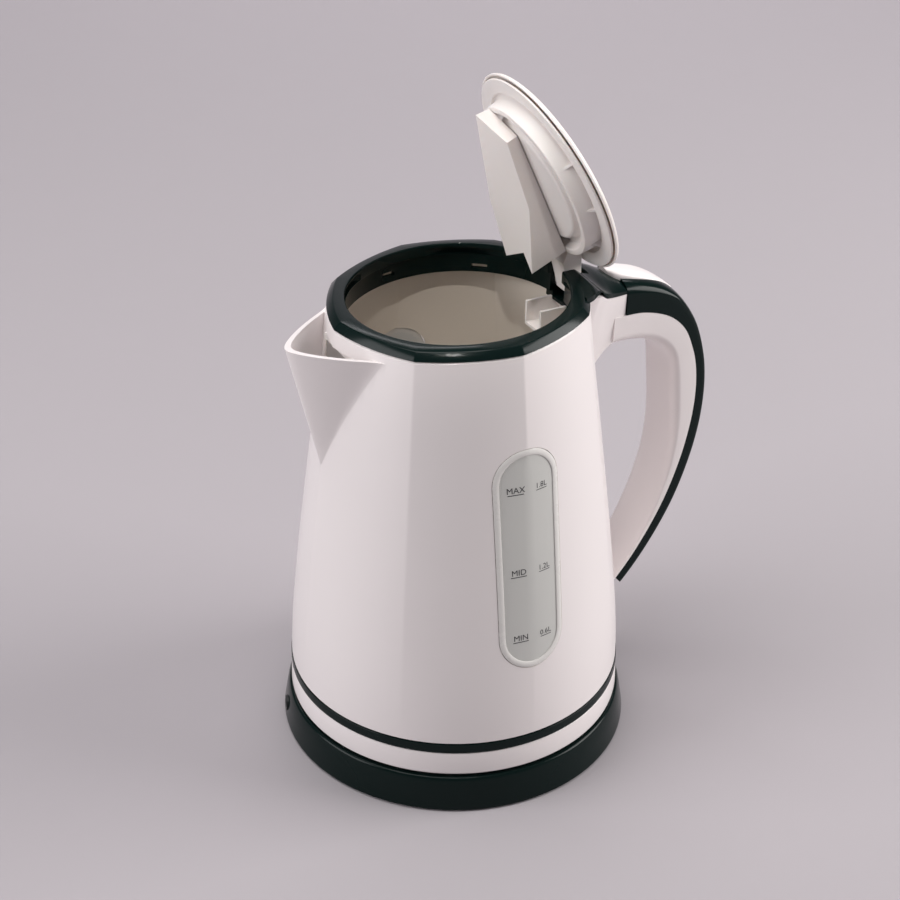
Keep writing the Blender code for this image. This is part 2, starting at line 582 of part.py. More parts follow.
hinge_house = solid("hinge_house", *loft([[(x, -13.0, 226.3), (x, 13.0, 226.3), (x, 13.0, top), (x, -13.0, top)]
                                          for x, top in ((56.9, 245.2), (66.0, 242.3), (72.0, 239.9), (77.7, 236.9))]), guide=True)
mouth_core = solid("mouth_core", *turned([(0, 262), (56.6, 262), (56.6, 220), (0, 220)], 44), guide=True)
notch = solid("notch", *block(46, 69.0, -6.8, 6.8, 228.0, 262), guide=True)
pin_bore = solid("pin_bore", *rod((HINGE[0], -11.8, HINGE[1]), (HINGE[0], 11.8, HINGE[1]), 2.3), guide=True)
spring_bore = solid("spring_bore", *rod((HINGE[0], 6.0, HINGE[1]), (HINGE[0], 11.3, HINGE[1]), 5.2, 20), guide=True)
latch_bore = solid("latch_bore", *block(66, 80, -4.4, 4.4, 228.3, 231.4), guide=True)


def button_well(grow, drop, top):
    rings = []
    for n, x in enumerate(BUTTON_X):
        w, z = BUTTON_HALF[n] + grow, DECK_Z[n] - drop
        xx = x - grow if n == 0 else x + grow if n == len(BUTTON_X) - 1 else x
        rings.append([(xx, -w, z), (xx, w, z), (xx, w, top), (xx, -w, top)])
    return loft(rings)


well = solid("button_well", *button_well(0.5, 8.0, 262), guide=True)
scoops = []
for i, angle in enumerate((57, 147, 237, 327), 1):
    a = math.radians(angle)
    scoops.append(solid(f"scoop_{i}", *turned([(0, 244.0), (29.0, 243.6), (30.3, 242.6), (30.3, 239.6), (0, 239.6)], 64,
                                              (27.7 * math.cos(a), 27.7 * math.sin(a), 27.7 * math.cos(a) * TILT)), guide=True))
cut(neck, mouth_core)
join(collar, neck, hinge_house)
cut(collar, notch, pin_bore, spring_bore, latch_bore, well, *scoops)
for i, (angle, half) in enumerate(((101, 3.6), (51, 4.0)), 1):
    a = math.radians(angle)
    pts = [[(r * math.cos(a) - h * math.sin(a), r * math.sin(a) + h * math.cos(a), z)
            for h, z in ((-half, 232.2), (half, 232.2), (half, 234.6), (-half, 234.6))] for r in (50.0, 62.0)]
    cut(collar, solid(f"vent_{i}", *loft(pts), guide=True))

# ---------------------------------------------------------------- handle cover
cover_rings = []
for n in range(1, count):
    q, o, w = GRIP_MID[n], GRIP_OUT[n], GRIP_HALF[n]
    deep = math.hypot(o[0] - q[0], o[1] - q[1])
    lift = GAP / deep
    thick = 2.3 / deep
    crown = max(0.0, 1.0 - (n - 1) / 4) * 2.4 / deep + 0.06
    rows = [(lift, w), (0.72, w), (0.92, w * 0.9), (1.0 + crown * 0.55, w * 0.6), (1.0 + crown, 0.0)]
    rows_in = [(1.0 + crown * 0.8 - thick, 0.0), (1.0 - thick, w - 4.2), (0.80 - thick * 0.4, w - 2.3), (lift, w - 2.3)]
    if n == 1:
        q, o = (86.9, q[1]), (86.9, o[1])
    ring = []
    for t, y in rows:
        x, z = between(q, o, t)
        ring.append((x, -y, z))
    for t, y in rows[-2::-1]:
        x, z = between(q, o, t)
        ring.append((x, y, z))
    for t, y in rows_in[::-1]:
        x, z = between(q, o, t)
        ring.append((x, y, z))
    for t, y in rows_in[1:]:
        x, z = between(q, o, t)
        ring.append((x, -y, z))
    cover_rings.append(ring)
handle_cover = solid("handle_cover", *loft(cover_rings[:-1]), rgb=DARK, rough=0.2)
cut(handle_cover, well)

# ---------------------------------------------------------- button, latch, springs
button_axis = empty_at("button_axis", 100, 0, 232)
rings = []
for n, x in enumerate(BUTTON_X):
    w, top, low = BUTTON_HALF[n], BUTTON_TOP[n], DECK_Z[n] - 2.0
    side = low + (top - low) * 0.45
    rings.append([(x, -w, low), (x, -w, side), (x, -w * 0.78, top - 1.0), (x, -w * 0.4, top - 0.2), (x, 0, top),
                  (x, w * 0.4, top - 0.2), (x, w * 0.78, top - 1.0), (x, w, side), (x, w, low)])
button = solid("lid_button", *loft(rings), rough=0.3, pivot=button_axis)
foot = solid("button_foot", *loft([[(87.5, y, 233.9), (87.5, y, 231.0), (88.8, y, 229.0), (90.2, y, 229.0), (90.2, y, 237.0),
                                    (87.5, y, 237.0)] for y in (-2.6, 2.6)]), guide=True)
boss = solid("button_boss", *rod((104, 0, 222.5), (104, 0, 232), 1.9, 12), guide=True)
join(button, foot, boss)
solid("button_spring", *helix((104, 0, 218.8), (0, 0, 1), 2.9, 0.45, 9.2, 5), rgb=(0.6, 0.6, 0.6), rough=0.3, metal=1.0)
latch_axis = empty_at("latch_axis", 78, 0, 229.8)
solid("latch_slider", *loft([[(x, -3.9, 228.7), (x, 3.9, 228.7), (x, 3.9, 231.0 - d), (x, -3.9, 231.0 - d)]
                             for x, d in ((70.4, 1.4), (72.4, 0.0), (85.0, 0.0), (87.0, 1.6))]),
      rgb=(0.75, 0.73, 0.70), rough=0.45, pivot=latch_axis)
solid("hinge_pin", *rod((HINGE[0], -11.4, HINGE[1]), (HINGE[0], 11.4, HINGE[1]), 2.0, 18),
      rgb=(0.6, 0.6, 0.6), rough=0.25, metal=1.0)
solid("lid_spring", *helix((HINGE[0], 7.5, HINGE[1]), (0, 1, 0), 3.6, 0.5, 3.0, 3), rgb=(0.6, 0.6, 0.6), rough=0.3, metal=1.0)

# ------------------------------------------------------------------ power switch
switch_axis = empty_at("switch_axis", 78, 0, 27.3)
solid("power_switch", *loft([[(x, -w, z - t), (x, w, z - t), (x, w, z + t), (x, -w, z + t)] for x, w, z, t in
                             ((70, 6, 27.3, 1.6), (75, 8.0, 27.3, 2.4), (82, 8.0, 27.3, 2.4), (88, 8.0, 27.5, 2.2),
                              (93.5, 7.6, 28.2, 1.8), (95.6, 6.4, 28.6, 1.0))]), rgb=DARK, rough=0.3, pivot=switch_axis)

# -------------------------------------------------------------------------- lid
# drawn in its own frame: v runs from the hinge side to the spout side, h is the
# depth below the rim plane; v = h = 0 is the middle of the disc
lid_axis = empty_at("lid_axis", HINGE[0], 0, HINGE[1])
tau = math.atan(TILT)
turn = LID_OPEN - tau
E_V = Vector((-math.cos(turn), 0, math.sin(turn)))
E_H = Vector((-math.sin(turn), 0, -math.cos(turn)))
closed_v = Vector((-math.cos(tau), 0, -math.sin(tau)))
closed_h = Vector((math.sin(tau), 0, -math.cos(tau)))
to_hinge = Vector((HINGE[0], 0, HINGE[1])) - Vector((0, 0, COLLAR_Z))
HV, HH = to_hinge.dot(closed_v), to_hinge.dot(closed_h)
LID_C = Vector((HINGE[0], 0, HINGE[1])) - E_V * HV - E_H * HH
LID_FRAME = Matrix((E_V, (0, 1, 0), E_H)).transposed()


def lid(v, y, h):
    return tuple(LID_C + E_V * v + Vector((0, y, 0)) + E_H * h)


solid("lid_cover", *turned([
    (0, -6.2), (18, -5.9), (34, -4.8), (46, -3.0), (51, -1.7), (52.6, -0.9), (LID_R, -0.1), (LID_R, 0.9),
    (52.1, 0.9), (51.3, -0.2), (46, -1.2), (30, -3.0), (0, -4.1)], 48, tuple(LID_C), LID_FRAME),
    rough=0.3, pivot=lid_axis)
liner = solid("lid_liner", *turned([
    (0, 9.5), (30.0, 9.5), (31.2, 8.9), (33.0, 5.2), (36.2, 5.2), (37.6, 9.6), (40.6, 9.6), (41.4, 0.8), (43.4, 0.8),
    (43.7, 2.4), (51.3, 2.4), (51.3, 1.2), (45.0, 1.2), (44.6, -0.3), (40.0, -0.3), (39.2, 8.0), (38.6, 8.0), (37.4, 3.6),
    (32.4, 3.6), (30.6, 7.3), (29.6, 7.9), (0, 7.9)], 44, tuple(LID_C), LID_FRAME), rough=0.4, pivot=lid_axis)
arm_outline = [(-39.9, 3.0), (-47.0, 3.2), (-57.5, 7.6), (HV, HH - 4.6), (HV - 3.3, HH - 3.3), (HV - 4.6, HH), (HV - 3.3, HH + 3.3),
               (HV, HH + 4.6), (-56.0, 15.4), (-45.0, 13.6), (-39.9, 8.0)]
arm = solid("lid_arm", *loft([[lid(v, y, h) for v, h in arm_outline] for y in (-6.2, 6.2)]), guide=True)
hinge_hole = solid("hinge_hole", *rod((HINGE[0], -9, HINGE[1]), (HINGE[0], 9, HINGE[1]), 2.3), guide=True)
join(liner, arm)
cut(liner, hinge_hole)
# steam guide on the inside: a faceted wedge, open towards the hinge
steam_duct = solid("steam_duct", *loft([[lid(*p) for p in ring] for ring in (
    ((30, -6, 9.9), (30.4, -7, 16), (35, 4, 17), (39.3, 14, 17.7), (37, 16, 9.9)),
    ((-7, -7, 9.9), (-7, -7, 18.8), (1.1, 6, 24.1), (-4.1, 14, 27.9), (-4, 17, 9.9)),
    ((-38.7, -7, 9.9), (-38.7, -7, 30.2), (-32, 2, 27), (-36.2, 14, 31.8), (-36.2, 16, 9.9)))]), rough=0.4, pivot=lid_axis)
cut(steam_duct, solid("duct_hollow", *loft([[lid(*p) for p in ring] for ring in (
    ((14, -2.5, 11.9), (14, -2.5, 14.2), (14, 3, 15.0), (14, 9, 15.8), (14, 9, 11.9)),
    ((-7, -5, 11.9), (-7, -5, 16.2), (-7, 4, 20.8), (-7, 11.5, 24.6), (-7, 13.5, 11.9)),
    ((-46, -5, 11.9), (-46, -5, 27.0), (-46, 3, 24.6), (-46, 11.5, 28.2), (-46, 13.5, 11.9)))]), guide=True))
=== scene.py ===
"""The kettle's looks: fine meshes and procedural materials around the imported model. Drafted in mm, made in metres."""

import math

import bmesh
import bpy
import numpy as np
from mathutils import Matrix, Vector


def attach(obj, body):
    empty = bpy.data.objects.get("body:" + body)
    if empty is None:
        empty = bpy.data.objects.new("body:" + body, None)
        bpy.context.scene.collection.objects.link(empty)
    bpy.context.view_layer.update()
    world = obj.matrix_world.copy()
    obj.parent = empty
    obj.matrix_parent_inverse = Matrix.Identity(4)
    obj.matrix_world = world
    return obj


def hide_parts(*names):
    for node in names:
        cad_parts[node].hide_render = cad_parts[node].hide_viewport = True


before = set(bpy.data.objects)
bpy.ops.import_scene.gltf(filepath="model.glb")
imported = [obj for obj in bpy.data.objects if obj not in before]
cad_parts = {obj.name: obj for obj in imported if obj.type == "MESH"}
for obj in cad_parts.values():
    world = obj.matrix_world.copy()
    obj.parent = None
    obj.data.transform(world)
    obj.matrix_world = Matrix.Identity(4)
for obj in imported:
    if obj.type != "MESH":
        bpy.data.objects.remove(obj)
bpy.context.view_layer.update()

MM = 0.001
SCENE = bpy.context.scene

# ------------------------------------------------------------------ dimensions
WALL = 2.8
TILT = math.tan(math.radians(1.93))
BASE_R, BASE_TOP_R, BASE_TOP_Z, SEAT_Z, SOCKET_R = 92.0, 88.6, 18.9, 16.5, 17.3
GAP = 0.3
SKIRT_R, SKIRT_Z = 87.4, (21.2, 33.6)
STRIPE_Z = (33.9, 39.0)
BODY_Z0, BODY_TOP = 39.3, 240.8
COLLAR_Z, MOUTH_R = 245.6, 53.9
BODY_Z = [39.0, 47.0, 58.5, 70.0, 93.0, 116.0, 139.0, 162.0, 185.0, 208.0, 241.1]
BODY_R = [86.6, 86.3, 85.6, 84.6, 82.1, 79.4, 76.4, 73.3, 70.2, 67.0, 62.6]
EDGE_Z = [39.0, 60.0, 93.0, 139.0, 241.1]
EDGE_R = [0.0, 0.35, 0.8, 1.3, 1.8]
SPOUT_Z0, SPOUT_Z1, SPOUT_TIP = 168.0, 234.6, 89.9
WIN_W, WIN_Z = 17.3, (79.4, 195.0)
HINGE = (62.8, 235.6)
LID_OPEN = math.radians(67.53)
LID_R = 53.1
GRIP_IN = [(80, 203.9), (88, 204.2), (95.8, 203.4), (103, 201.6), (109, 198.4), (114, 193.6), (117.2, 188),
           (118.8, 181), (119.4, 173), (120.3, 163), (121.3, 152), (121.7, 141), (121.2, 130), (119.6, 119),
           (116.8, 108), (113.2, 97.6), (108.8, 87.4), (104, 77.6), (98, 67.5), (91, 58.5), (84, 51.5)]
GRIP_MID = [(80, 220.0), (88, 220.0), (96, 219.6), (105, 217.4), (112.5, 214.2), (118.8, 209.6), (124.2, 203.2),
            (128.0, 195.0), (131.3, 184.8), (133.0, 172.6), (133.1, 160.6), (132.0, 148.8), (130.0, 137.1),
            (127.2, 125.4), (123.6, 113.9), (119.3, 102.4), (114.0, 91.1), (107.8, 79.9), (100.8, 68.9),
            (92.6, 58.2), (84.5, 48.6)]
GRIP_OUT = [(80, 235.0), (88, 234.2), (96, 233.2), (105.5, 231.0), (113, 228.0), (120.5, 222.6), (128.0, 212.6),
            (133.2, 202.0), (137.6, 187.0), (139.6, 173.5), (139.9, 160.2), (139.0, 147.2), (137.0, 134.6),
            (134.0, 122.4), (130.2, 110.4), (125.6, 98.6), (119.8, 86.9), (113.2, 75.6), (105.4, 64.2),
            (96.6, 53.4), (88.4, 44.6)]
GRIP_HALF = [15.5, 15.5, 15.5, 15.5, 15.5, 15.5, 15.5, 15.5, 15.5, 15.5, 15.5, 15.4, 15.2, 15.0, 14.8, 14.5,
             14.2, 13.9, 13.6, 13.3, 13.0]
NECK_X = [50.0, 55.0, 60.0, 62.0, 64.5, 68.0, 72.0, 76.0, 80.0, 84.0, 86.3]
NECK_HALF = [36.0, 34.0, 30.2, 28.7, 26.8, 24.1, 21.3, 19.0, 17.3, 16.0, 15.5]
NECK_CROWN = [247.2, 247.3, 247.4, 246.2, 244.6, 243.7, 243.2, 241.9, 240.0, 238.2, 237.2]
NECK_EDGE = [246.2, 246.0, 245.6, 244.4, 242.4, 240.0, 237.8, 236.0, 234.8, 234.0, 233.6]
NECK_UNDER = [243.2, 243.2, 243.2, 243.2, 243.2, 238.4, 235.4, 233.9, 232.9, 232.3, 232.1]
ROOT_X = [62.0, 66.0, 70.0, 74.0, 78.0, 82.0, 86.5]
ROOT_TOP = [241.0, 239.2, 236.0, 234.1, 233.0, 232.2, 231.7]
ROOT_LOW = [184.0, 187.5, 191.5, 197.0, 201.3, 203.4, 204.2]
BUTTON_X = [81.0, 84.0, 88.0, 94.0, 100.0, 106.0, 112.0, 117.0, 121.5]
BUTTON_HALF = [3.4, 6.2, 7.5, 8.2, 8.1, 7.6, 6.7, 5.3, 3.0]
BUTTON_TOP = [241.6, 241.2, 240.2, 238.7, 237.0, 234.4, 231.0, 227.4, 223.6]
DECK_Z = [239.5, 238.3, 236.7, 234.7, 232.7, 230.6, 228.2, 225.4, 221.6]

# ---------------------------------------------------------------------- camera
cam_data = bpy.data.cameras.new("camera")
cam = bpy.data.objects.new("camera", cam_data)
SCENE.collection.objects.link(cam)
cam_data.sensor_width = 36.0
cam_data.lens = 68.987
cam_data.clip_start = 0.01
spot = Vector((-0.34684, -0.65803, 0.60163))
aim = Vector((-0.00263, 0.00139, 0.15722))
back = (spot - aim).normalized()
right = Vector((0, 0, 1)).cross(back).normalized()
up = back.cross(right)
roll = math.radians(0.537)
r2 = right * math.cos(roll) + up * math.sin(roll)
u2 = up * math.cos(roll) - right * math.sin(roll)
cam.matrix_world = Matrix.Translation(spot) @ Matrix((r2, u2, back)).transposed().to_4x4()
SCENE.camera = cam


# ------------------------------------------------------------------- materials
def new_material(name):
    mat = bpy.data.materials.new(name)
    mat.use_nodes = True
    nodes, links = mat.node_tree.nodes, mat.node_tree.links
    return mat, nodes, links, nodes["Principled BSDF"]


def noise(nodes, links, coord, scale, detail=3.0, rough=0.5):
    n = nodes.new("ShaderNodeTexNoise")
    n.inputs["Scale"].default_value = scale
    n.inputs["Detail"].default_value = detail
    n.inputs["Roughness"].default_value = rough
    links.new(coord, n.inputs["Vector"])
    return n.outputs["Fac"]


def ranged(nodes, links, value, low, high):
    m = nodes.new("ShaderNodeMapRange")
    m.inputs["From Min"].default_value = 0.3
    m.inputs["From Max"].default_value = 0.7
    m.inputs["To Min"].default_value = low
    m.inputs["To Max"].default_value = high
    links.new(value, m.inputs["Value"])
    return m.outputs["Result"]


def tinted(nodes, links, value, a, b):
    mix = nodes.new("ShaderNodeMix")
    mix.data_type = "RGBA"
    mix.inputs["A"].default_value = (*a, 1)
    mix.inputs["B"].default_value = (*b, 1)
    links.new(value, mix.inputs["Factor"])
    return mix.outputs["Result"]


def moulded(name, rgb, rough, spread=0.04, grain=700.0, depth=0.00002, shift=0.03, coat=0.0, sss=0.0, scale=(1, 1, 1)):
    """Moulded plastic or worked metal: slow colour drift, polish that varies, and a fine surface grain."""
    mat, nodes, links, shader = new_material(name)
    tex = nodes.new("ShaderNodeTexCoord")
    mapping = nodes.new("ShaderNodeMapping")
    mapping.inputs["Scale"].default_value = scale
    links.new(tex.outputs["Object"], mapping.inputs["Vector"])
    coord = mapping.outputs["Vector"]
    drift = noise(nodes, links, coord, 14.0)
    low = tuple(max(c * (1 - shift), 0) for c in rgb)
    high = tuple(min(c * (1 + shift), 1) for c in rgb)
    links.new(tinted(nodes, links, drift, low, high), shader.inputs["Base Color"])
    wear = noise(nodes, links, coord, 55.0, 5.0, 0.6)
    links.new(ranged(nodes, links, wear, rough - spread, rough + spread), shader.inputs["Roughness"])
    fine = noise(nodes, links, coord, grain, 2.0)
    bump = nodes.new("ShaderNodeBump")
    bump.inputs["Strength"].default_value = 0.35
    bump.inputs["Distance"].default_value = depth
    links.new(fine, bump.inputs["Height"])
    links.new(bump.outputs["Normal"], shader.inputs["Normal"])
    shader.inputs["Coat Weight"].default_value = coat
    shader.inputs["Coat Roughness"].default_value = 0.08
    if sss:
        shader.inputs["Subsurface Weight"].default_value = sss
        shader.inputs["Subsurface Radius"].default_value = (0.006, 0.004, 0.003)
        shader.inputs["Subsurface Scale"].default_value = 1.0
    return mat


def metal(name, rgb, rough, grain, scale):
    mat = moulded(name, rgb, rough, 0.07, grain, 0.00003, 0.05, scale=scale)
    mat.node_tree.nodes["Principled BSDF"].inputs["Metallic"].default_value = 1.0
    return mat


WHITE = moulded("white_plastic", (0.80, 0.745, 0.74), 0.31, 0.012, 900, 0.000003, 0.006, coat=0.2)
LID_WHITE = moulded("lid_white_plastic", (0.82, 0.765, 0.735), 0.38, 0.012, 800, 0.000004, 0.008, sss=0.12)
INSIDE = moulded("inside_plastic", (0.80, 0.725, 0.64), 0.42, 0.05, 700, 0.00002, 0.03)
DARK = moulded("dark_plastic", (0.0025, 0.0085, 0.0078), 0.17, 0.015, 800, 0.000003, 0.12)
DARK.node_tree.nodes["Principled BSDF"].inputs["Specular IOR Level"].default_value = 0.15
BLACK = moulded("black_plastic", (0.012, 0.013, 0.014), 0.5, 0.08, 500, 0.00004, 0.1)
RUBBER = moulded("foot_rubber", (0.03, 0.03, 0.031), 0.82, 0.06, 900, 0.00006, 0.1)
SEAL = moulded("seal_rubber", (0.45, 0.16, 0.09), 0.6, 0.06, 700, 0.00004, 0.06)
STEEL = metal("brushed_steel", (0.62, 0.62, 0.61), 0.33, 260.0, (1, 12, 1))
BRASS = metal("brass", (0.72, 0.50, 0.20), 0.3, 300.0, (1, 1, 8))
INK = moulded("print_ink", (0.035, 0.035, 0.04), 0.5, 0.05, 900, 0.00001, 0.05)
WINDOW = moulded("window_plastic", (0.66, 0.655, 0.63), 0.30, 0.02, 500, 0.000008, 0.012)
WINDOW.node_tree.nodes["Principled BSDF"].inputs["Transmission Weight"].default_value = 0.18
WINDOW.node_tree.nodes["Principled BSDF"].inputs["IOR"].default_value = 1.35
RIM = moulded("window_rim_plastic", (0.71, 0.69, 0.665), 0.28, 0.02, 500, 0.000006, 0.01)


# --------------------------------------------------------------------- helpers
def mesh_of(name, verts, faces):
    mesh = bpy.data.meshes.new(name)
    mesh.from_pydata([Vector(v) * MM for v in verts], [], faces)
    bm = bmesh.new()
    bm.from_mesh(mesh)
    bmesh.ops.remove_doubles(bm, verts=bm.verts, dist=2e-7)
    bmesh.ops.recalc_face_normals(bm, faces=bm.faces)
    bm.to_mesh(mesh)
    bm.free()
    return mesh


def helper(name, verts, faces):
    obj = bpy.data.objects.new(name, mesh_of(name, verts, faces))
    SCENE.collection.objects.link(obj)
    return obj


def worked(obj, *steps):
    """Applies (operation, cutter) Booleans, in order, and returns the result's mesh."""
    for operation, other in steps:
        mod = obj.modifiers.new(other.name, "BOOLEAN")
        mod.operation, mod.solver, mod.object = operation, "EXACT", other
    bpy.context.view_layer.update()
    mesh = bpy.data.meshes.new_from_object(obj.evaluated_get(bpy.context.evaluated_depsgraph_get()))
    bm = bmesh.new()
    bm.from_mesh(mesh)
    bmesh.ops.remove_doubles(bm, verts=bm.verts, dist=4e-6)
    bmesh.ops.dissolve_degenerate(bm, dist=2e-6, edges=bm.edges)
    bm.to_mesh(mesh)
    bm.free()
    obj.modifiers.clear()
    obj.data = mesh
    return obj


def shown(obj, name, mat, body, stands_for=(), angle=30, bevel=0.0, segments=2, limit=35):
    obj.name = name
    obj.data.name = name
    if mat:
        obj.data.materials.clear()
        obj.data.materials.append(mat)
    obj.data.shade_smooth()
    if bevel:
        mod = obj.modifiers.new("edges", "BEVEL")
        mod.width, mod.segments, mod.limit_method, mod.angle_limit = bevel * MM, segments, "ANGLE", math.radians(limit)
        mod.harden_normals = False
        mod.use_clamp_overlap = True
        mod.miter_outer = "MITER_ARC"
    obj.data.set_sharp_from_angle(angle=math.radians(angle))
    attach(obj, body)
    if stands_for:
        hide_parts(*stands_for)
    return obj


def drop(*objs):
    for obj in objs:
        bpy.data.objects.remove(obj, do_unlink=True)


def loft(rings, close=False, caps=True):
    count = len(rings[0])
    verts = [tuple(p) for ring in rings for p in ring]
    faces = []
    spans = len(rings) if close else len(rings) - 1
    for i in range(spans):
        a, b = i * count, ((i + 1) % len(rings)) * count
        for j in range(count):
            k = (j + 1) % count
            faces.append((a + j, a + k, b + k, b + j))
    if not close and caps:
        faces.append(tuple(range(count)))
        faces.append(tuple(range((len(rings) - 1) * count, len(rings) * count)))
    return verts, faces


def turned(profile, steps=128, centre=(0.0, 0.0, 0.0), axes=None):
    verts, faces, rows = [], [], []
    for r, z in profile:
        if r < 1e-6:
            rows.append([len(verts)] * steps)
            verts.append((0.0, 0.0, z))
        else:
            rows.append(list(range(len(verts), len(verts) + steps)))
            verts += [(r * math.cos(2 * math.pi * i / steps), r * math.sin(2 * math.pi * i / steps), z) for i in range(steps)]
    n = len(profile)
    for i in range(n):
        a, b = rows[i], rows[(i + 1) % n]
        if a[0] == a[1] and b[0] == b[1]:
            continue
        for j in range(steps):
            k = (j + 1) % steps
            face = []
            for v in (a[j], a[k], b[k], b[j]):
                if v not in face:
                    face.append(v)
            if len(face) > 2:
                faces.append(tuple(face))
    out = []
    for v in verts:
        p = Vector(v)
        if axes:
            p = axes @ p
        out.append(tuple(p + Vector(centre)))
    return out, faces


def block(x0, x1, y0, y1, z0, z1):
    return loft([[(x0, y0, z0), (x1, y0, z0), (x1, y1, z0), (x0, y1, z0)],
                 [(x0, y0, z1), (x1, y0, z1), (x1, y1, z1), (x0, y1, z1)]])


def rod(p, q, radius, steps=32):
    p, q = Vector(p), Vector(q)
    spin = (q - p).to_track_quat("Z", "Y").to_matrix()
    return loft([[tuple(end + spin @ Vector((radius * math.cos(2 * math.pi * i / steps), radius * math.sin(2 * math.pi * i / steps), 0.0)))
                  for i in range(steps)] for end in (p, q)])


def softened(profile, size=0.5, parts=3):
    """Rounds the corners of a closed outline by up to size."""
    out = []
    n = len(profile)
    for i in range(n):
        p = Vector(profile[i])
        a, b = Vector(profile[i - 1]) - p, Vector(profile[(i + 1) % n]) - p
        if a.length < 1e-6 or b.length < 1e-6 or p.x < 1e-6 or a.angle(b) > math.radians(165):
            out.append(tuple(p))
            continue
        d = min(size, a.length * 0.45, b.length * 0.45)
        s, e = p + a.normalized() * d, p + b.normalized() * d
        for k in range(parts + 1):
            t = k / parts
            out.append(tuple(s * (1 - t) ** 2 + p * 2 * t * (1 - t) + e * t * t))
    return out


def smooth_at(xs, ys, x):
    n = len(xs)
    h = [xs[i + 1] - xs[i] for i in range(n - 1)]
    d = [(ys[i + 1] - ys[i]) / h[i] for i in range(n - 1)]
    m = [d[0]] + [0.0] * (n - 2) + [d[-1]]
    for i in range(1, n - 1):
        if d[i - 1] * d[i] > 0:
            m[i] = (h[i - 1] + h[i]) * 3 / ((2 * h[i] + h[i - 1]) / d[i - 1] + (h[i] + 2 * h[i - 1]) / d[i])
    x = min(max(x, xs[0]), xs[-1])
    i = min(max(int(np.searchsorted(xs, x)) - 1, 0), n - 2)
    t = (x - xs[i]) / h[i]
    return (ys[i] * (1 + 2 * t) * (1 - t) ** 2 + m[i] * h[i] * t * (1 - t) ** 2
            + ys[i + 1] * t * t * (3 - 2 * t) + m[i + 1] * h[i] * t * t * (t - 1))


def curve_at(points, t):
    """A smooth curve through points at parameter t, in stations (Catmull-Rom)."""
    n = len(points)
    i = min(int(t), n - 2)
    f = t - i
    p0, p1, p2, p3 = (Vector(points[min(max(k, 0), n - 1)]) for k in (i - 1, i, i + 1, i + 2))
    return 0.5 * (2 * p1 + (p2 - p0) * f + (2 * p0 - 5 * p1 + 4 * p2 - p3) * f * f + (3 * p1 - p0 - 3 * p2 + p3) * f ** 3)


def eight_sided(theta, mid, edge):
    half = math.pi / 8
    phi = theta % (math.pi / 4) - half
    corner = mid + edge
    h = corner * math.sin(half)
    s = mid - corner * math.cos(half)
    rho = (h * h + s * s) / (2 * s)
    d = mid - rho
    return d * math.cos(phi) + math.sqrt(rho * rho - (d * math.sin(phi)) ** 2)


def body_r(theta, z):
    return eight_sided(theta, smooth_at(BODY_Z, BODY_R, z), float(np.interp(z, EDGE_Z, EDGE_R)))


def body_x(y, z, inset=0.0):
    x = 60.0
    for _ in range(12):
        r = body_r(math.atan2(y, x), z) - inset
        x = math.sqrt(max(r * r - y * y, 1.0))
    return x


def body_y(x, z):
    y = 70.0
    for _ in range(12):
        r = body_r(math.atan2(-y, x), z)
        y = math.sqrt(max(r * r - x * x, 1.0))
    return y


def mirrored(data):
    verts, faces = data
    return [(x, -y, z) for x, y, z in verts], faces


def rounded_angles():
    """Angles round the body, closer together beside each corner."""
    out = []
    for k in range(8):
        base = 45.0 * k
        out += [base, base + 0.7] + [base + 2.6 * i for i in range(1, 17)] + [base + 44.3]
    return [math.radians(a) for a in out]


THETA = rounded_angles()

# ------------------------------------------------------------------------ jug
heights = [BODY_Z0 + 0.5, 44, 50, 58.5, 66] + [72 + 9.2 * i for i in range(18)]
rings = []
for th in THETA:
    c, s = math.cos(th), math.sin(th)
    top = BODY_TOP + body_r(th, 240.0) * c * TILT
    ring = [(body_r(th, z), z) for z in heights] + [(body_r(th, 240.5), top - 0.6), (body_r(th, 240.5) - 0.6, top)]
    ring += [(body_r(th, 240.5) - WALL, top)]
    ring += [(body_r(th, z) - WALL, z) for z in reversed(heights) if z > 64] + [(body_r(th, 60) - WALL - 0.4, 59.5), (62.0, 59.5), (62.0, 57.0)]
    ring += [(body_r(th, 55) - WALL, 57.0), (body_r(th, BODY_Z0) - WALL, BODY_Z0), (body_r(th, BODY_Z0) - 0.5, BODY_Z0)]
    rings.append([(r * c, r * s, z) for r, z in ring])
shell = helper("shell", *loft(rings, close=True))


def beak_half(t):
    return 30.6 * (0.92 * t + 0.08 * t * t) + 0.6


def beak_z(t):
    return SPOUT_Z0 + (SPOUT_Z1 - SPOUT_Z0) * t


def beak_front(t, y):
    full = math.sqrt(1.0256) - 0.16
    line = 1 - (math.sqrt((y / beak_half(t)) ** 2 + 0.0256) - 0.16) / full
    line = 0.5 * (line + math.sqrt(line * line + 0.012)) - 0.034
    wall = body_x(abs(y), beak_z(t))
    return wall + (73.4 + (SPOUT_TIP - 73.4) * t - wall) * line


def beak_outer(t):
    side = beak_half(t) * 1.12
    ring = [(-beak_front(t, side * i / 26), side * i / 26, beak_z(t)) for i in range(-26, 27)]
    return ring + [(-body_x(abs(side * k / 4), beak_z(t), 1.7), side * k / 4, beak_z(t)) for k in (3, 2, 1, 0, -1, -2, -3)]


def beak_inner(t):
    s = min(t, 1.0)
    low, high = 0.0, beak_half(s)
    for _ in range(24):
        side = (low + high) / 2
        if beak_front(s, side) - 3.2 - body_x(side, beak_z(s), 0.35) > 0.6:
            low = side
        else:
            high = side
    ring = [(3.2 - beak_front(s, side * i / 15), side * i / 15, beak_z(t)) for i in range(-15, 16)]
    return ring + [(-body_x(abs(side * k / 4), beak_z(s), 0.35), side * k / 4, beak_z(t)) for k in (3, 2, 1, 0, -1, -2, -3)]


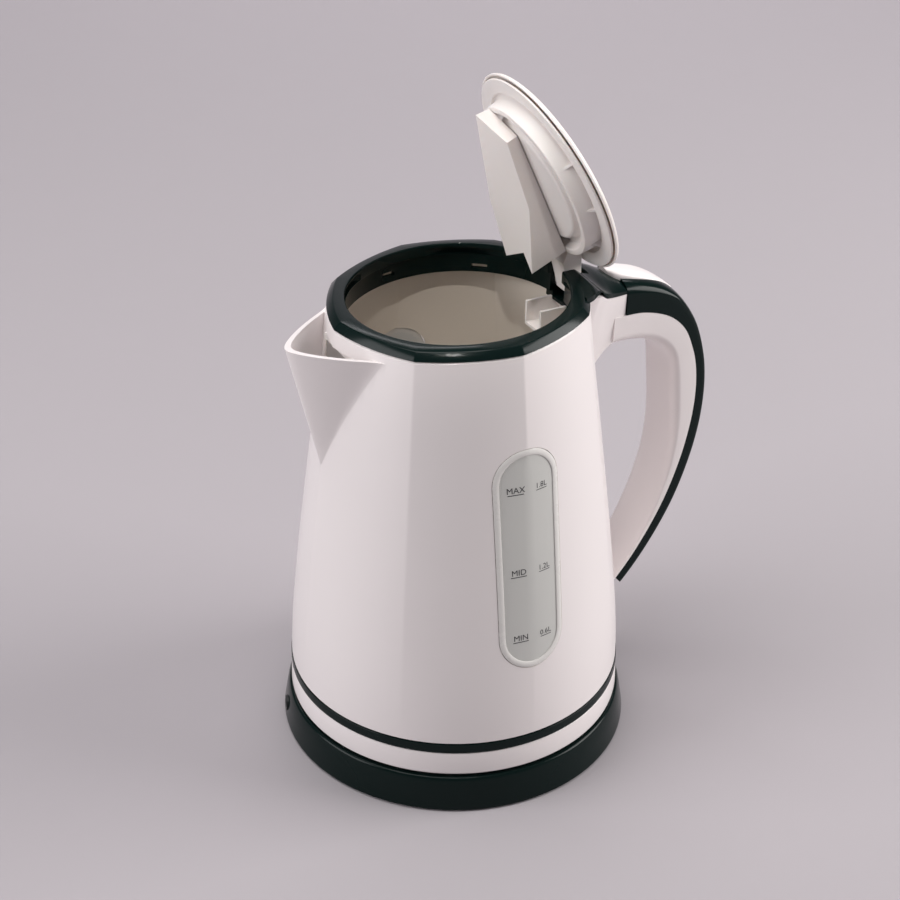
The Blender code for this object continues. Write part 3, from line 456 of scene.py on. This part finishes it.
def throat_row(z):
    w = float(np.interp(z, [190 - GAP, 220, 230.5], [6.1, 16.3, 16.3]))
    ring = [(-body_x(abs(w * i / 10), z, 0.1), w * i / 10, z) for i in range(-10, 11)]
    return ring + [(-50.0, w * k / 2, z) for k in (2, 1, 0, -1, -2)]


levels = [0.02, 0.1, 0.2, 0.3, 0.4, 0.5, 0.6, 0.7, 0.8, 0.9, 1.0]
spout = helper("spout", *loft([beak_outer(t) for t in levels]))
spout_in = helper("spout_in", *loft([beak_inner(t) for t in (0.25, 0.35, 0.5, 0.65, 0.8, 0.9, 1.0, 1.2)]))
throat = helper("throat", *loft([throat_row(z) for z in (190 - GAP, 197, 205, 212, 220, 230.5)]))

root_rings = []
for x in [48.0] + [62.0 + 24.5 * i / 14 for i in range(15)]:
    n = max(x, 62.0)
    low = smooth_at(ROOT_X, ROOT_LOW, n)
    top = smooth_at(ROOT_X, ROOT_TOP, n)
    w = smooth_at(NECK_X, NECK_HALF, n) - 0.4
    side = []
    for i in range(23):
        f = (i / 22) ** 1.5
        z = low + (top - low) * f
        flat = 14.4 + (w - 14.4) * f ** 1.7
        y = flat * (1 - 0.4 * max(0.0, 1 - f / 0.14) ** 2.2)
        side.append((y, z))
    ring = [(-y, z) for y, z in reversed(side)] + side
    root_rings.append([(x, y, z) for y, z in ring])
root = helper("root", *loft(root_rings))
core = helper("core", *loft([[((body_r(th, z) - 1.5) * math.cos(th), (body_r(th, z) - 1.5) * math.sin(th), z) for th in THETA]
                             for z in (170.0, 190.0, 208.0, 225.0, 248.0)]))
worked(root, ("DIFFERENCE", core))


def station(t):
    p, q, o = (curve_at(g, t) for g in (GRIP_IN, GRIP_MID, GRIP_OUT))
    w = float(np.interp(t, range(len(GRIP_HALF)), GRIP_HALF))
    return p, q, o, w


def grip_ring(t, t0, t1, shrink, round_in):
    p, q, _, w = station(t)
    w -= shrink
    rows = []
    for i in range(9):
        a = math.pi / 2 * i / 8
        rows.append((t0 + round_in * (1 - math.sin(a)), w * (0.60 + 0.40 * math.cos(a))))
    rows = rows[::-1]
    rows.append((t1, w))
    ring = []
    for f, y in reversed(rows):
        v = p.lerp(q, f)
        ring.append((v.x, -y, v.y))
    for f, y in rows:
        v = p.lerp(q, f)
        ring.append((v.x, y, v.y))
    return ring


stations = [i * 0.25 for i in range(81)]
bar = helper("bar", *loft([grip_ring(t, 0.0, 1.0, 0.0, 0.34) for t in stations]))
channel = helper("channel", *loft([grip_ring(t, 0.34, 1.3, 3.0, 0.1) for t in [4 + i * 0.5 for i in range(25)]]))
bore = helper("bore", *rod((58, 0, 221.6), (115, 0, 204.0), 3.4))
pocket = helper("pocket", *block(54, 78, -13.3, 13.3, 226.0, 262))
latch_way = helper("latch_way", *block(76, 96, -4.7, 4.7, 227.6, 262))


def window_rows(half, z0, z1, out, deep, rows, cols):
    rings = []
    for i in range(rows + 1):
        f = 0.5 - 0.5 * math.cos(math.pi * i / rows)
        z = z0 + (z1 - z0) * f
        d = min(z - z0, z1 - z)
        w = math.sqrt(max(half * half - (half - d) ** 2, 0.0)) if d < half else half
        w = max(w, 0.05 * half)
        front, rear = [], []
        for j in range(cols + 1):
            x = w * (-1 + 2 * j / cols)
            y = body_y(x, z)
            k = math.hypot(x, y)
            front.append((x * (k + out) / k, -y * (k + out) / k, z))
            rear.append((x * (k - deep) / k, -y * (k - deep) / k, z))
        rings.append(front + rear[::-1])
    return rings


win_cut = loft(window_rows(WIN_W + 0.25, WIN_Z[0] - 0.25, WIN_Z[1] + 0.25, 6.0, 8.0, 44, 8))
cut_a = helper("cut_a", *win_cut)
cut_b = helper("cut_b", *mirrored(win_cut))
worked(shell, ("UNION", root), ("UNION", bar), ("UNION", spout), ("DIFFERENCE", channel), ("DIFFERENCE", bore), ("DIFFERENCE", spout_in),
       ("DIFFERENCE", throat), ("DIFFERENCE", pocket), ("DIFFERENCE", latch_way), ("DIFFERENCE", cut_a), ("DIFFERENCE", cut_b))
drop(root, core, bar, spout, channel, bore, spout_in, throat, pocket, latch_way, cut_a, cut_b)
shown(shell, "jug_body", WHITE, "jug", ("body_shell", "handle_grip", "spout_beak"), angle=28)
shell.data.materials.append(INSIDE)
for face in shell.data.polygons:
    c = face.center / MM
    r = math.hypot(c.x, c.y)
    if 40 < c.z < 244 and r < body_r(math.atan2(c.y, c.x), c.z) - 1.4 and (c.x * face.normal.x + c.y * face.normal.y < 0.2 * r or c.z < 70):
        face.material_index = 1

for side, flip in (("front", 1), ("rear", -1)):
    pane = loft(window_rows(WIN_W - 2.7, WIN_Z[0] + 2.7, WIN_Z[1] - 2.7, -0.25, WALL - 0.6, 48, 10))
    rim_rows = []
    n_side = 96
    for k in range(n_side):
        a = 2 * math.pi * k / n_side
        for_ring = []
        for half, inset in ((WIN_W, 0.0), (WIN_W - 3.0, 3.0)):
            zc0, zc1 = WIN_Z[0] + inset + half, WIN_Z[1] - inset - half
            span = zc1 - zc0
            length = 2 * span + 2 * math.pi * half
            d = a / (2 * math.pi) * length
            if d < span:
                x, z = half, zc0 + d
            elif d < span + math.pi * half:
                b = (d - span) / half
                x, z = half * math.cos(b), zc1 + half * math.sin(b)
            elif d < 2 * span + math.pi * half:
                x, z = -half, zc1 - (d - span - math.pi * half)
            else:
                b = math.pi + (d - 2 * span - math.pi * half) / half
                x, z = half * math.cos(b), zc0 + half * math.sin(b)
            for_ring.append((x, z))
        (xo, zo), (xi, zi) = for_ring
        sect = []
        for f, out in ((0.0, -0.35), (0.0, 0.10), (0.08, 0.24), (0.5, 0.30), (0.9, 0.22), (1.0, 0.05), (1.0, -2.2), (0.0, -2.2)):
            x, z = xo + (xi - xo) * f, zo + (zi - zo) * f
            y = body_y(x, z)
            q = math.hypot(x, y)
            sect.append((x * (q + out) / q, -y * (q + out) / q * flip, z))
        rim_rows.append(sect)
    v, f = pane
    v = [(x, y * flip, z) for x, y, z in v]
    shown(helper("pane", v, f), f"window_pane_{side}", WINDOW, "jug", (f"gauge_window_{side}",))
    shown(helper("rim", *loft(rim_rows, close=True)), f"window_rim_{side}", RIM, "jug", (), angle=50)


def on_window(obj, flip, name):
    """Wraps a flat piece, drawn in x and z mm, onto the pane."""
    for v in obj.data.vertices:
        x, z = v.co.x, v.co.y
        y = body_y(x, z)
        q = math.hypot(x, y)
        k = (q - 0.19) / q
        v.co = Vector((x * k, -y * k * flip, z)) * MM
    shown(obj, name, INK, "jug", ())


def text_mesh(body, size, x, z, flip):
    font = bpy.data.curves.new("print", "FONT")
    font.body, font.size, font.align_x, font.resolution_u = body, size, "CENTER", 3
    obj = bpy.data.objects.new("print", font)
    SCENE.collection.objects.link(obj)
    bpy.context.view_layer.update()
    mesh = bpy.data.meshes.new_from_object(obj.evaluated_get(bpy.context.evaluated_depsgraph_get()))
    drop(obj)
    for v in mesh.vertices:
        v.co = Vector((x + v.co.x * flip, z + v.co.y, 0))
    out = bpy.data.objects.new("print", mesh)
    SCENE.collection.objects.link(out)
    return out


def bar_mesh(x0, x1, z, thick):
    verts = []
    faces = []
    n = 8
    for i in range(n + 1):
        x = x0 + (x1 - x0) * i / n
        verts += [(x, z - thick / 2, 0), (x, z + thick / 2, 0)]
        if i:
            faces.append((2 * i - 2, 2 * i, 2 * i + 1, 2 * i - 1))
    mesh = bpy.data.meshes.new("line")
    mesh.from_pydata(verts, [], faces)
    out = bpy.data.objects.new("line", mesh)
    SCENE.collection.objects.link(out)
    return out


MARKS = (("MAX", "1.8L", 173.0), ("MID", "1.2L", 130.2), ("MIN", "0.6L", 94.6))
for side, flip in (("front", 1), ("rear", -1)):
    for word, volume, z in MARKS:
        on_window(text_mesh(word, 4.3, -6.3 * flip, z + 0.9, flip), flip, f"mark_{word.lower()}_{side}")
        on_window(bar_mesh(-10.4 * flip, -2.4 * flip, z, 0.42), flip, f"line_{word.lower()}_{side}")
        on_window(text_mesh(volume, 3.9, 7.4 * flip, z + 0.9, flip), flip, f"volume_{word.lower()}_{side}")
        on_window(bar_mesh(4.4 * flip, 10.6 * flip, z, 0.36), flip, f"step_{word.lower()}_{side}")

skirt = helper("skirt", *turned(softened([
    (SKIRT_R - 0.4, SKIRT_Z[1]), (SKIRT_R, SKIRT_Z[0]), (SKIRT_R - 0.7, 20.5), (83.7, 20.4), (83.1, SEAT_Z + GAP),
    (22.0, SEAT_Z + GAP), (22.0, 18.8), (80.5, 18.8), (84.4, 22.5), (84.4, SKIRT_Z[1])], 0.5), 160))
slot = helper("slot", *block(79, 95, -8.6, 8.6, 22.6, 32.0))
holes = [helper("hole", *rod((x, y, 10), (x, y, 24), 3.4)) for x, y in ((57.3, 9.1), (-36.5, 45.1), (-20.8, -54.2))]
worked(skirt, ("DIFFERENCE", slot), *[("DIFFERENCE", h) for h in holes])
drop(slot, *holes)
shown(skirt, "jug_skirt", WHITE, "jug", ("bottom_skirt",))
shown(helper("stripe", *turned(softened([(86.9, STRIPE_Z[1]), (87.1, STRIPE_Z[0] + 0.4), (86.9, STRIPE_Z[0]), (84.0, STRIPE_Z[0]), (84.0, STRIPE_Z[1])], 0.3), 160)),
      "jug_stripe", DARK, "jug", ("stripe_ring",))

# ----------------------------------------------------------------- power base
cover = helper("cover", *turned(softened([
    (BASE_R, 1.0), (91.7, 3.0), (90.6, 9.5), (89.5, 15.5), (BASE_TOP_R, 18.2), (87.8, BASE_TOP_Z), (84.9, BASE_TOP_Z),
    (84.1, SEAT_Z), (SOCKET_R + GAP, SEAT_Z), (SOCKET_R + GAP, SEAT_Z - 2.2), (85.4, SEAT_Z - 2.2), (87.6, 12.0),
    (88.8, 6.0), (89.3, 1.0)], 0.5), 180))
ga = math.radians(163.0)
gland = helper("gland", *rod((80 * math.cos(ga), 80 * math.sin(ga), 8), (99 * math.cos(ga), 99 * math.sin(ga), 8), 4.3))
worked(cover, ("DIFFERENCE", gland))
drop(gland)
shown(cover, "power_base", DARK, "base", ("base_cover",))

# ---------------------------------------------------------------------- collar
rings = []
for th in THETA:
    c, s = math.cos(th), math.sin(th)
    section = softened([(eight_sided(th, 62.9, 1.8), -4.4), (eight_sided(th, 59.6, 1.8), -0.8), (MOUTH_R + 0.5, 0.0),
                        (MOUTH_R, -0.6), (MOUTH_R, -6.2), (55.9, -6.9), (55.4, -16.5), (58.2, -16.5), (58.2, -4.9),
                        (eight_sided(th, 61.2, 1.8), -4.5)], 0.45, 2)
    rings.append([(r * c, r * s, COLLAR_Z + r * c * TILT + dz) for r, dz in section])
collar = helper("ring", *loft(rings, close=True))
neck_rings = []
for i in range(45):
    x = NECK_X[0] + (NECK_X[-1] - NECK_X[0]) * i / 44
    w, crown, edge, under = (smooth_at(NECK_X, ys, x) for ys in (NECK_HALF, NECK_CROWN, NECK_EDGE, NECK_UNDER))
    ring = [(x, -w, under)]
    for k in range(33):
        f = -1 + 2 * k / 32
        ring.append((x, w * f * (1 if abs(f) < 1 else 1), crown - (crown - edge) * f * f))
    ring.append((x, w, under))
    neck_rings.append(ring)
neck = helper("neck", *loft(neck_rings))
mouth = helper("mouth", *turned([(0, 262), (56.6, 262), (56.6, 220), (0, 220)], 116))
worked(neck, ("DIFFERENCE", mouth))
house = helper("house", *loft([[(x, -13.0, 226.3), (x, 13.0, 226.3), (x, 13.0, top), (x, -13.0, top)]
                               for x, top in ((56.9, 245.2), (66.0, 242.3), (72.0, 239.9), (77.7, 236.9))]))
cutters = [helper("notch", *block(46, 69.0, -6.8, 6.8, 228.0, 262)),
           helper("pin_way", *rod((HINGE[0], -11.8, HINGE[1]), (HINGE[0], 11.8, HINGE[1]), 2.3)),
           helper("coil_way", *rod((HINGE[0], 6.0, HINGE[1]), (HINGE[0], 11.3, HINGE[1]), 5.2)),
           helper("latch_way", *block(66, 80, -4.4, 4.4, 228.3, 231.4))]


def button_well(grow, drop_by, top):
    rings = []
    for i in range(33):
        x = BUTTON_X[0] + (BUTTON_X[-1] - BUTTON_X[0]) * i / 32
        w, z = smooth_at(BUTTON_X, BUTTON_HALF, x) + grow, smooth_at(BUTTON_X, DECK_Z, x) - drop_by
        xx = x - grow if i == 0 else x + grow if i == 32 else x
        rings.append([(xx, -w, z), (xx, w, z), (xx, w, top), (xx, -w, top)])
    return loft(rings)


well = helper("well", *button_well(0.45, 8.0, 262))
cutters.append(well)
for angle in (57, 147, 237, 327):
    a = math.radians(angle)
    cutters.append(helper("scoop", *turned([(0, 244.0), (29.0, 243.6), (30.3, 242.6), (30.3, 239.6), (0, 239.6)], 180,
                                           (27.7 * math.cos(a), 27.7 * math.sin(a), 27.7 * math.cos(a) * TILT))))
for angle, half in ((101, 3.6), (51, 4.0)):
    a = math.radians(angle)
    cutters.append(helper("vent", *loft([[(r * math.cos(a) - h * math.sin(a), r * math.sin(a) + h * math.cos(a), z)
                                          for h, z in ((-half, 232.2), (half, 232.2), (half, 234.6), (-half, 234.6))] for r in (50.0, 62.0)])))
worked(collar, ("UNION", neck), ("UNION", house), *[("DIFFERENCE", c) for c in cutters])
drop(neck, mouth, house, *[c for c in cutters if c is not well])
shown(collar, "jug_collar", DARK, "jug", ("collar",), angle=24)

# ---------------------------------------------------------------- handle cover
cover_rings = []
for i in range(73):
    t = 1 + i * 0.25
    _, q, o, w = station(t)
    if i == 0:
        q, o = Vector((86.9, q.y)), Vector((86.9, o.y))
    deep = (o - q).length
    lift, thick = 0.25 / deep, 2.3 / deep
    crown = max(0.0, 1.0 - (t - 1) / 4) * 2.4 / deep + 0.06
    rows = [(lift, w), (0.55, w)]
    for k in range(1, 17):
        a = math.pi / 2 * k / 16
        rows.append((0.74 + (0.26 + crown) * math.sin(a) ** 0.9, w * (math.cos(a) ** 0.62)))
    rows_in = [(1.0 + crown * 0.8 - thick, 0.0), (1.0 - thick, w - 4.6), (0.76 - thick * 0.4, w - 2.3), (lift, w - 2.3)]
    right_side = [(q.lerp(o, f), y) for f, y in rows]
    inner_side = [(q.lerp(o, f), y) for f, y in rows_in]
    ring = [(v.x, -y, v.y) for v, y in right_side] + [(v.x, y, v.y) for v, y in right_side[-2::-1]]
    ring += [(v.x, y, v.y) for v, y in inner_side[::-1]] + [(v.x, -y, v.y) for v, y in inner_side[1:]]
    cover_rings.append(ring)
grip_cover = helper("grip_cover", *loft(cover_rings))
worked(grip_cover, ("DIFFERENCE", well))
drop(well)
shown(grip_cover, "grip_cover", DARK, "jug", ("handle_cover",), angle=30)

# ---------------------------------------------------------------------- button
rings = []
for i in range(41):
    f = i / 40
    x = BUTTON_X[0] + (BUTTON_X[-1] - BUTTON_X[0]) * (0.5 - 0.5 * math.cos(math.pi * f))
    w, top, deck = (smooth_at(BUTTON_X, ys, x) for ys in (BUTTON_HALF, BUTTON_TOP, DECK_Z))
    low = deck - 1.5
    ring = [(x, -w, low)]
    for k in range(25):
        a = math.pi * k / 24
        ring.append((x, -w * math.copysign(abs(math.cos(a)) ** 0.55, math.cos(a)), low + 1.2 + (top - low - 1.2) * math.sin(a) ** 0.62))
    ring.append((x, w, low))
    rings.append(ring)
button = helper("button", *loft(rings))
foot = helper("foot", *loft([[(87.5, y, 233.9), (87.5, y, 231.0), (88.8, y, 229.0), (90.2, y, 229.0), (90.2, y, 237.0), (87.5, y, 237.0)]
                             for y in (-2.6, 2.6)]))
boss = helper("boss", *rod((104, 0, 222.5), (104, 0, 232), 1.9))
worked(button, ("UNION", foot), ("UNION", boss))
drop(foot, boss)
shown(button, "release_button", WHITE, "button", ("lid_button",), angle=40)

# -------------------------------------------------------------------------- lid
tau = math.atan(TILT)
turn = LID_OPEN - tau
E_V = Vector((-math.cos(turn), 0, math.sin(turn)))
E_H = Vector((-math.sin(turn), 0, -math.cos(turn)))
to_hinge = Vector((HINGE[0], 0, HINGE[1])) - Vector((0, 0, COLLAR_Z))
HV = to_hinge.dot(Vector((-math.cos(tau), 0, -math.sin(tau))))
HH = to_hinge.dot(Vector((math.sin(tau), 0, -math.cos(tau))))
LID_C = Vector((HINGE[0], 0, HINGE[1])) - E_V * HV - E_H * HH
LID_AXES = Matrix((E_V, (0, 1, 0), E_H)).transposed()


def lid(v, y, h):
    return tuple(LID_C + E_V * v + Vector((0, y, 0)) + E_H * h)


shown(helper("lid_top", *turned(softened([
    (0, -6.2), (6, -6.17), (12, -6.05), (18, -5.85), (26, -5.4), (34, -4.75), (40, -3.95), (46, -3.0), (51, -1.7), (52.6, -0.9), (LID_R, -0.1), (LID_R, 0.9),
    (52.1, 0.9), (51.3, -0.2), (46, -1.2), (30, -3.0), (0, -4.1)], 0.35, 2), 160, tuple(LID_C), LID_AXES)),
    "lid_top", LID_WHITE, "lid", ("lid_cover",))
liner = helper("liner", *turned(softened([
    (0, 9.5), (30.0, 9.5), (31.2, 8.9), (33.0, 5.2), (36.2, 5.2), (37.6, 9.6), (40.6, 9.6), (41.4, 0.8), (43.4, 0.8),
    (43.7, 2.4), (51.3, 2.4), (51.3, 1.2), (45.0, 1.2), (44.6, -0.3), (40.0, -0.3), (39.2, 8.0), (38.6, 8.0), (37.4, 3.6),
    (32.4, 3.6), (30.6, 7.3), (29.6, 7.9), (0, 7.9)], 0.5, 3), 144, tuple(LID_C), LID_AXES))
arm_outline = [(-39.9, 3.0), (-47.0, 3.2), (-57.5, 7.6), (HV, HH - 4.6), (HV - 3.3, HH - 3.3), (HV - 4.6, HH), (HV - 3.3, HH + 3.3),
               (HV, HH + 4.6), (-56.0, 15.4), (-45.0, 13.6), (-39.9, 8.0)]
arm = helper("arm", *loft([[lid(v, y, h) for v, h in arm_outline] for y in (-6.2, 6.2)]))
pin_hole = helper("pin_hole", *rod((HINGE[0], -9, HINGE[1]), (HINGE[0], 9, HINGE[1]), 2.3))
extras = [arm]
for angle in (93, 267, 60, 300, 130, 230):
    a = math.radians(angle)
    extras.append(helper("rib", *loft([[lid(r * math.cos(a) - q * math.sin(a), r * math.sin(a) + q * math.cos(a), h)
                                        for q, h in ((-0.6, 0.5), (0.6, 0.5), (0.6, top), (-0.6, top))] for r, top in ((40.0, 7.2), (42.5, 3.6), (44.4, 2.2))])))
worked(liner, *[("UNION", e) for e in extras], ("DIFFERENCE", pin_hole))
drop(pin_hole, *extras)
shown(liner, "lid_inner", LID_WHITE, "lid", ("lid_liner",), angle=32)
duct_obj = helper("duct", *loft([[lid(*p) for p in ring] for ring in (
    ((30, -6, 9.9), (30.4, -7, 16), (35, 4, 17), (39.3, 14, 17.7), (37, 16, 9.9)),
    ((-7, -7, 9.9), (-7, -7, 18.8), (1.1, 6, 24.1), (-4.1, 14, 27.9), (-4, 17, 9.9)),
    ((-38.7, -7, 9.9), (-38.7, -7, 30.2), (-32, 2, 27), (-36.2, 14, 31.8), (-36.2, 16, 9.9)))]))
hollow = helper("hollow", *loft([[lid(*p) for p in ring] for ring in (
    ((14, -2.5, 11.9), (14, -2.5, 14.2), (14, 3, 15.0), (14, 9, 15.8), (14, 9, 11.9)),
    ((-7, -5, 11.9), (-7, -5, 16.2), (-7, 4, 20.8), (-7, 11.5, 24.6), (-7, 13.5, 11.9)),
    ((-46, -5, 11.9), (-46, -5, 27.0), (-46, 3, 24.6), (-46, 11.5, 28.2), (-46, 13.5, 11.9)))]))
worked(duct_obj, ("DIFFERENCE", hollow))
drop(hollow)
shown(duct_obj, "lid_duct", LID_WHITE, "lid", ("steam_duct",), angle=25, bevel=0.4, limit=14)

# ------------------------------------------------- CAD pieces that stay as they are
FINISH = {
    "base_bottom_plate": BLACK, "base_socket": BLACK, "cord_gland": BLACK, "jug_connector": BLACK, "thermal_controller": BLACK,
    "base_contact_inner": BRASS, "base_contact_outer": BRASS, "connector_pin": BRASS, "connector_ring": BRASS,
    "heating_plate": STEEL, "heating_element": STEEL, "thermal_disc": STEEL, "boil_sensor_disc": STEEL, "filter_mesh": STEEL,
    "hinge_pin": STEEL, "lid_spring": STEEL, "button_spring": STEEL, "plate_seal": SEAL, "power_switch": DARK,
    "steam_inlet": LID_WHITE, "steam_pipe": INSIDE, "filter_frame": LID_WHITE, "latch_slider": INSIDE,
}
for name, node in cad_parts.items():
    if node.hide_render:
        continue
    mat = FINISH.get(name) or (RUBBER if "foot" in name else STEEL if "screw" in name else BLACK)
    for i in range(max(1, len(node.material_slots))):
        if node.material_slots:
            node.material_slots[i].material = mat
        else:
            node.data.materials.append(mat)

# ------------------------------------------------------------- floor and light
def backdrop():
    profile = [(-3.0, 0.0), (1.6, 0.0)]
    for i in range(1, 17):
        a = math.pi / 2 * i / 16
        profile.append((1.6 + 1.2 * math.sin(a), 1.2 - 1.2 * math.cos(a)))
    profile.append((2.8, 5.0))
    direction = Vector((math.sin(math.radians(27.79)), math.cos(math.radians(27.79)), 0))
    across = Vector((direction.y, -direction.x, 0))
    rows = []
    for d, z in profile:
        rows.append([tuple((direction * d + across * w + Vector((0, 0, z))) / MM) for w in (-6, -3, 0, 3, 6)])
    verts = [p for row in rows for p in row]
    faces = []
    for i in range(len(rows) - 1):
        for j in range(4):
            a = i * 5 + j
            faces.append((a, a + 1, a + 6, a + 5))
    return helper("floor", verts, faces)


floor = backdrop()
floor.data.shade_smooth()
floor.data.materials.append(moulded("paper", (0.372, 0.343, 0.362), 0.8, 0.01, 300, 0.000002, 0.004))


def area(name, where, size, power, colour=(1, 1, 1), at=(0, 0, 0.14)):
    light = bpy.data.lights.new(name, "AREA")
    light.shape, light.size, light.size_y, light.energy, light.color = "RECTANGLE", size[0], size[1], power, colour
    obj = bpy.data.objects.new(name, light)
    SCENE.collection.objects.link(obj)
    obj.location = where
    obj.rotation_euler = (Vector(at) - Vector(where)).to_track_quat("-Z", "Y").to_euler()


area("right", (1.48, -0.69, 0.92), (1.1, 1.2), 34, (1.0, 0.985, 0.97))
area("left", (-1.53, 0.27, 0.82), (1.0, 1.2), 18, (0.99, 0.985, 1.0))
area("top", (-0.25, 0.1, 1.7), (1.0, 1.0), 15, (1.0, 0.99, 0.98))
area("wash", (0.9, 1.7, 1.9), (2.4, 0.6), 40, (0.99, 0.97, 1.0), (1.25, 2.4, 0.4))
beam = bpy.data.lights.new("inside", "SPOT")
beam.energy, beam.spot_size, beam.spot_blend, beam.shadow_soft_size, beam.color = 34, math.radians(5.0), 0.5, 0.03, (1.0, 0.97, 0.93)
beam_obj = bpy.data.objects.new("inside", beam)
SCENE.collection.objects.link(beam_obj)
beam_obj.location = (-0.36, -0.62, 1.42)
beam_obj.rotation_euler = (Vector((0.006, 0.012, 0.225)) - Vector(beam_obj.location)).to_track_quat("-Z", "Y").to_euler()
world = bpy.data.worlds.new("studio")
world.use_nodes = True
world.node_tree.nodes["Background"].inputs["Color"].default_value = (0.93, 0.92, 0.94, 1)
world.node_tree.nodes["Background"].inputs["Strength"].default_value = 0.2
SCENE.world = world
SCENE.view_settings.view_transform = "Standard"
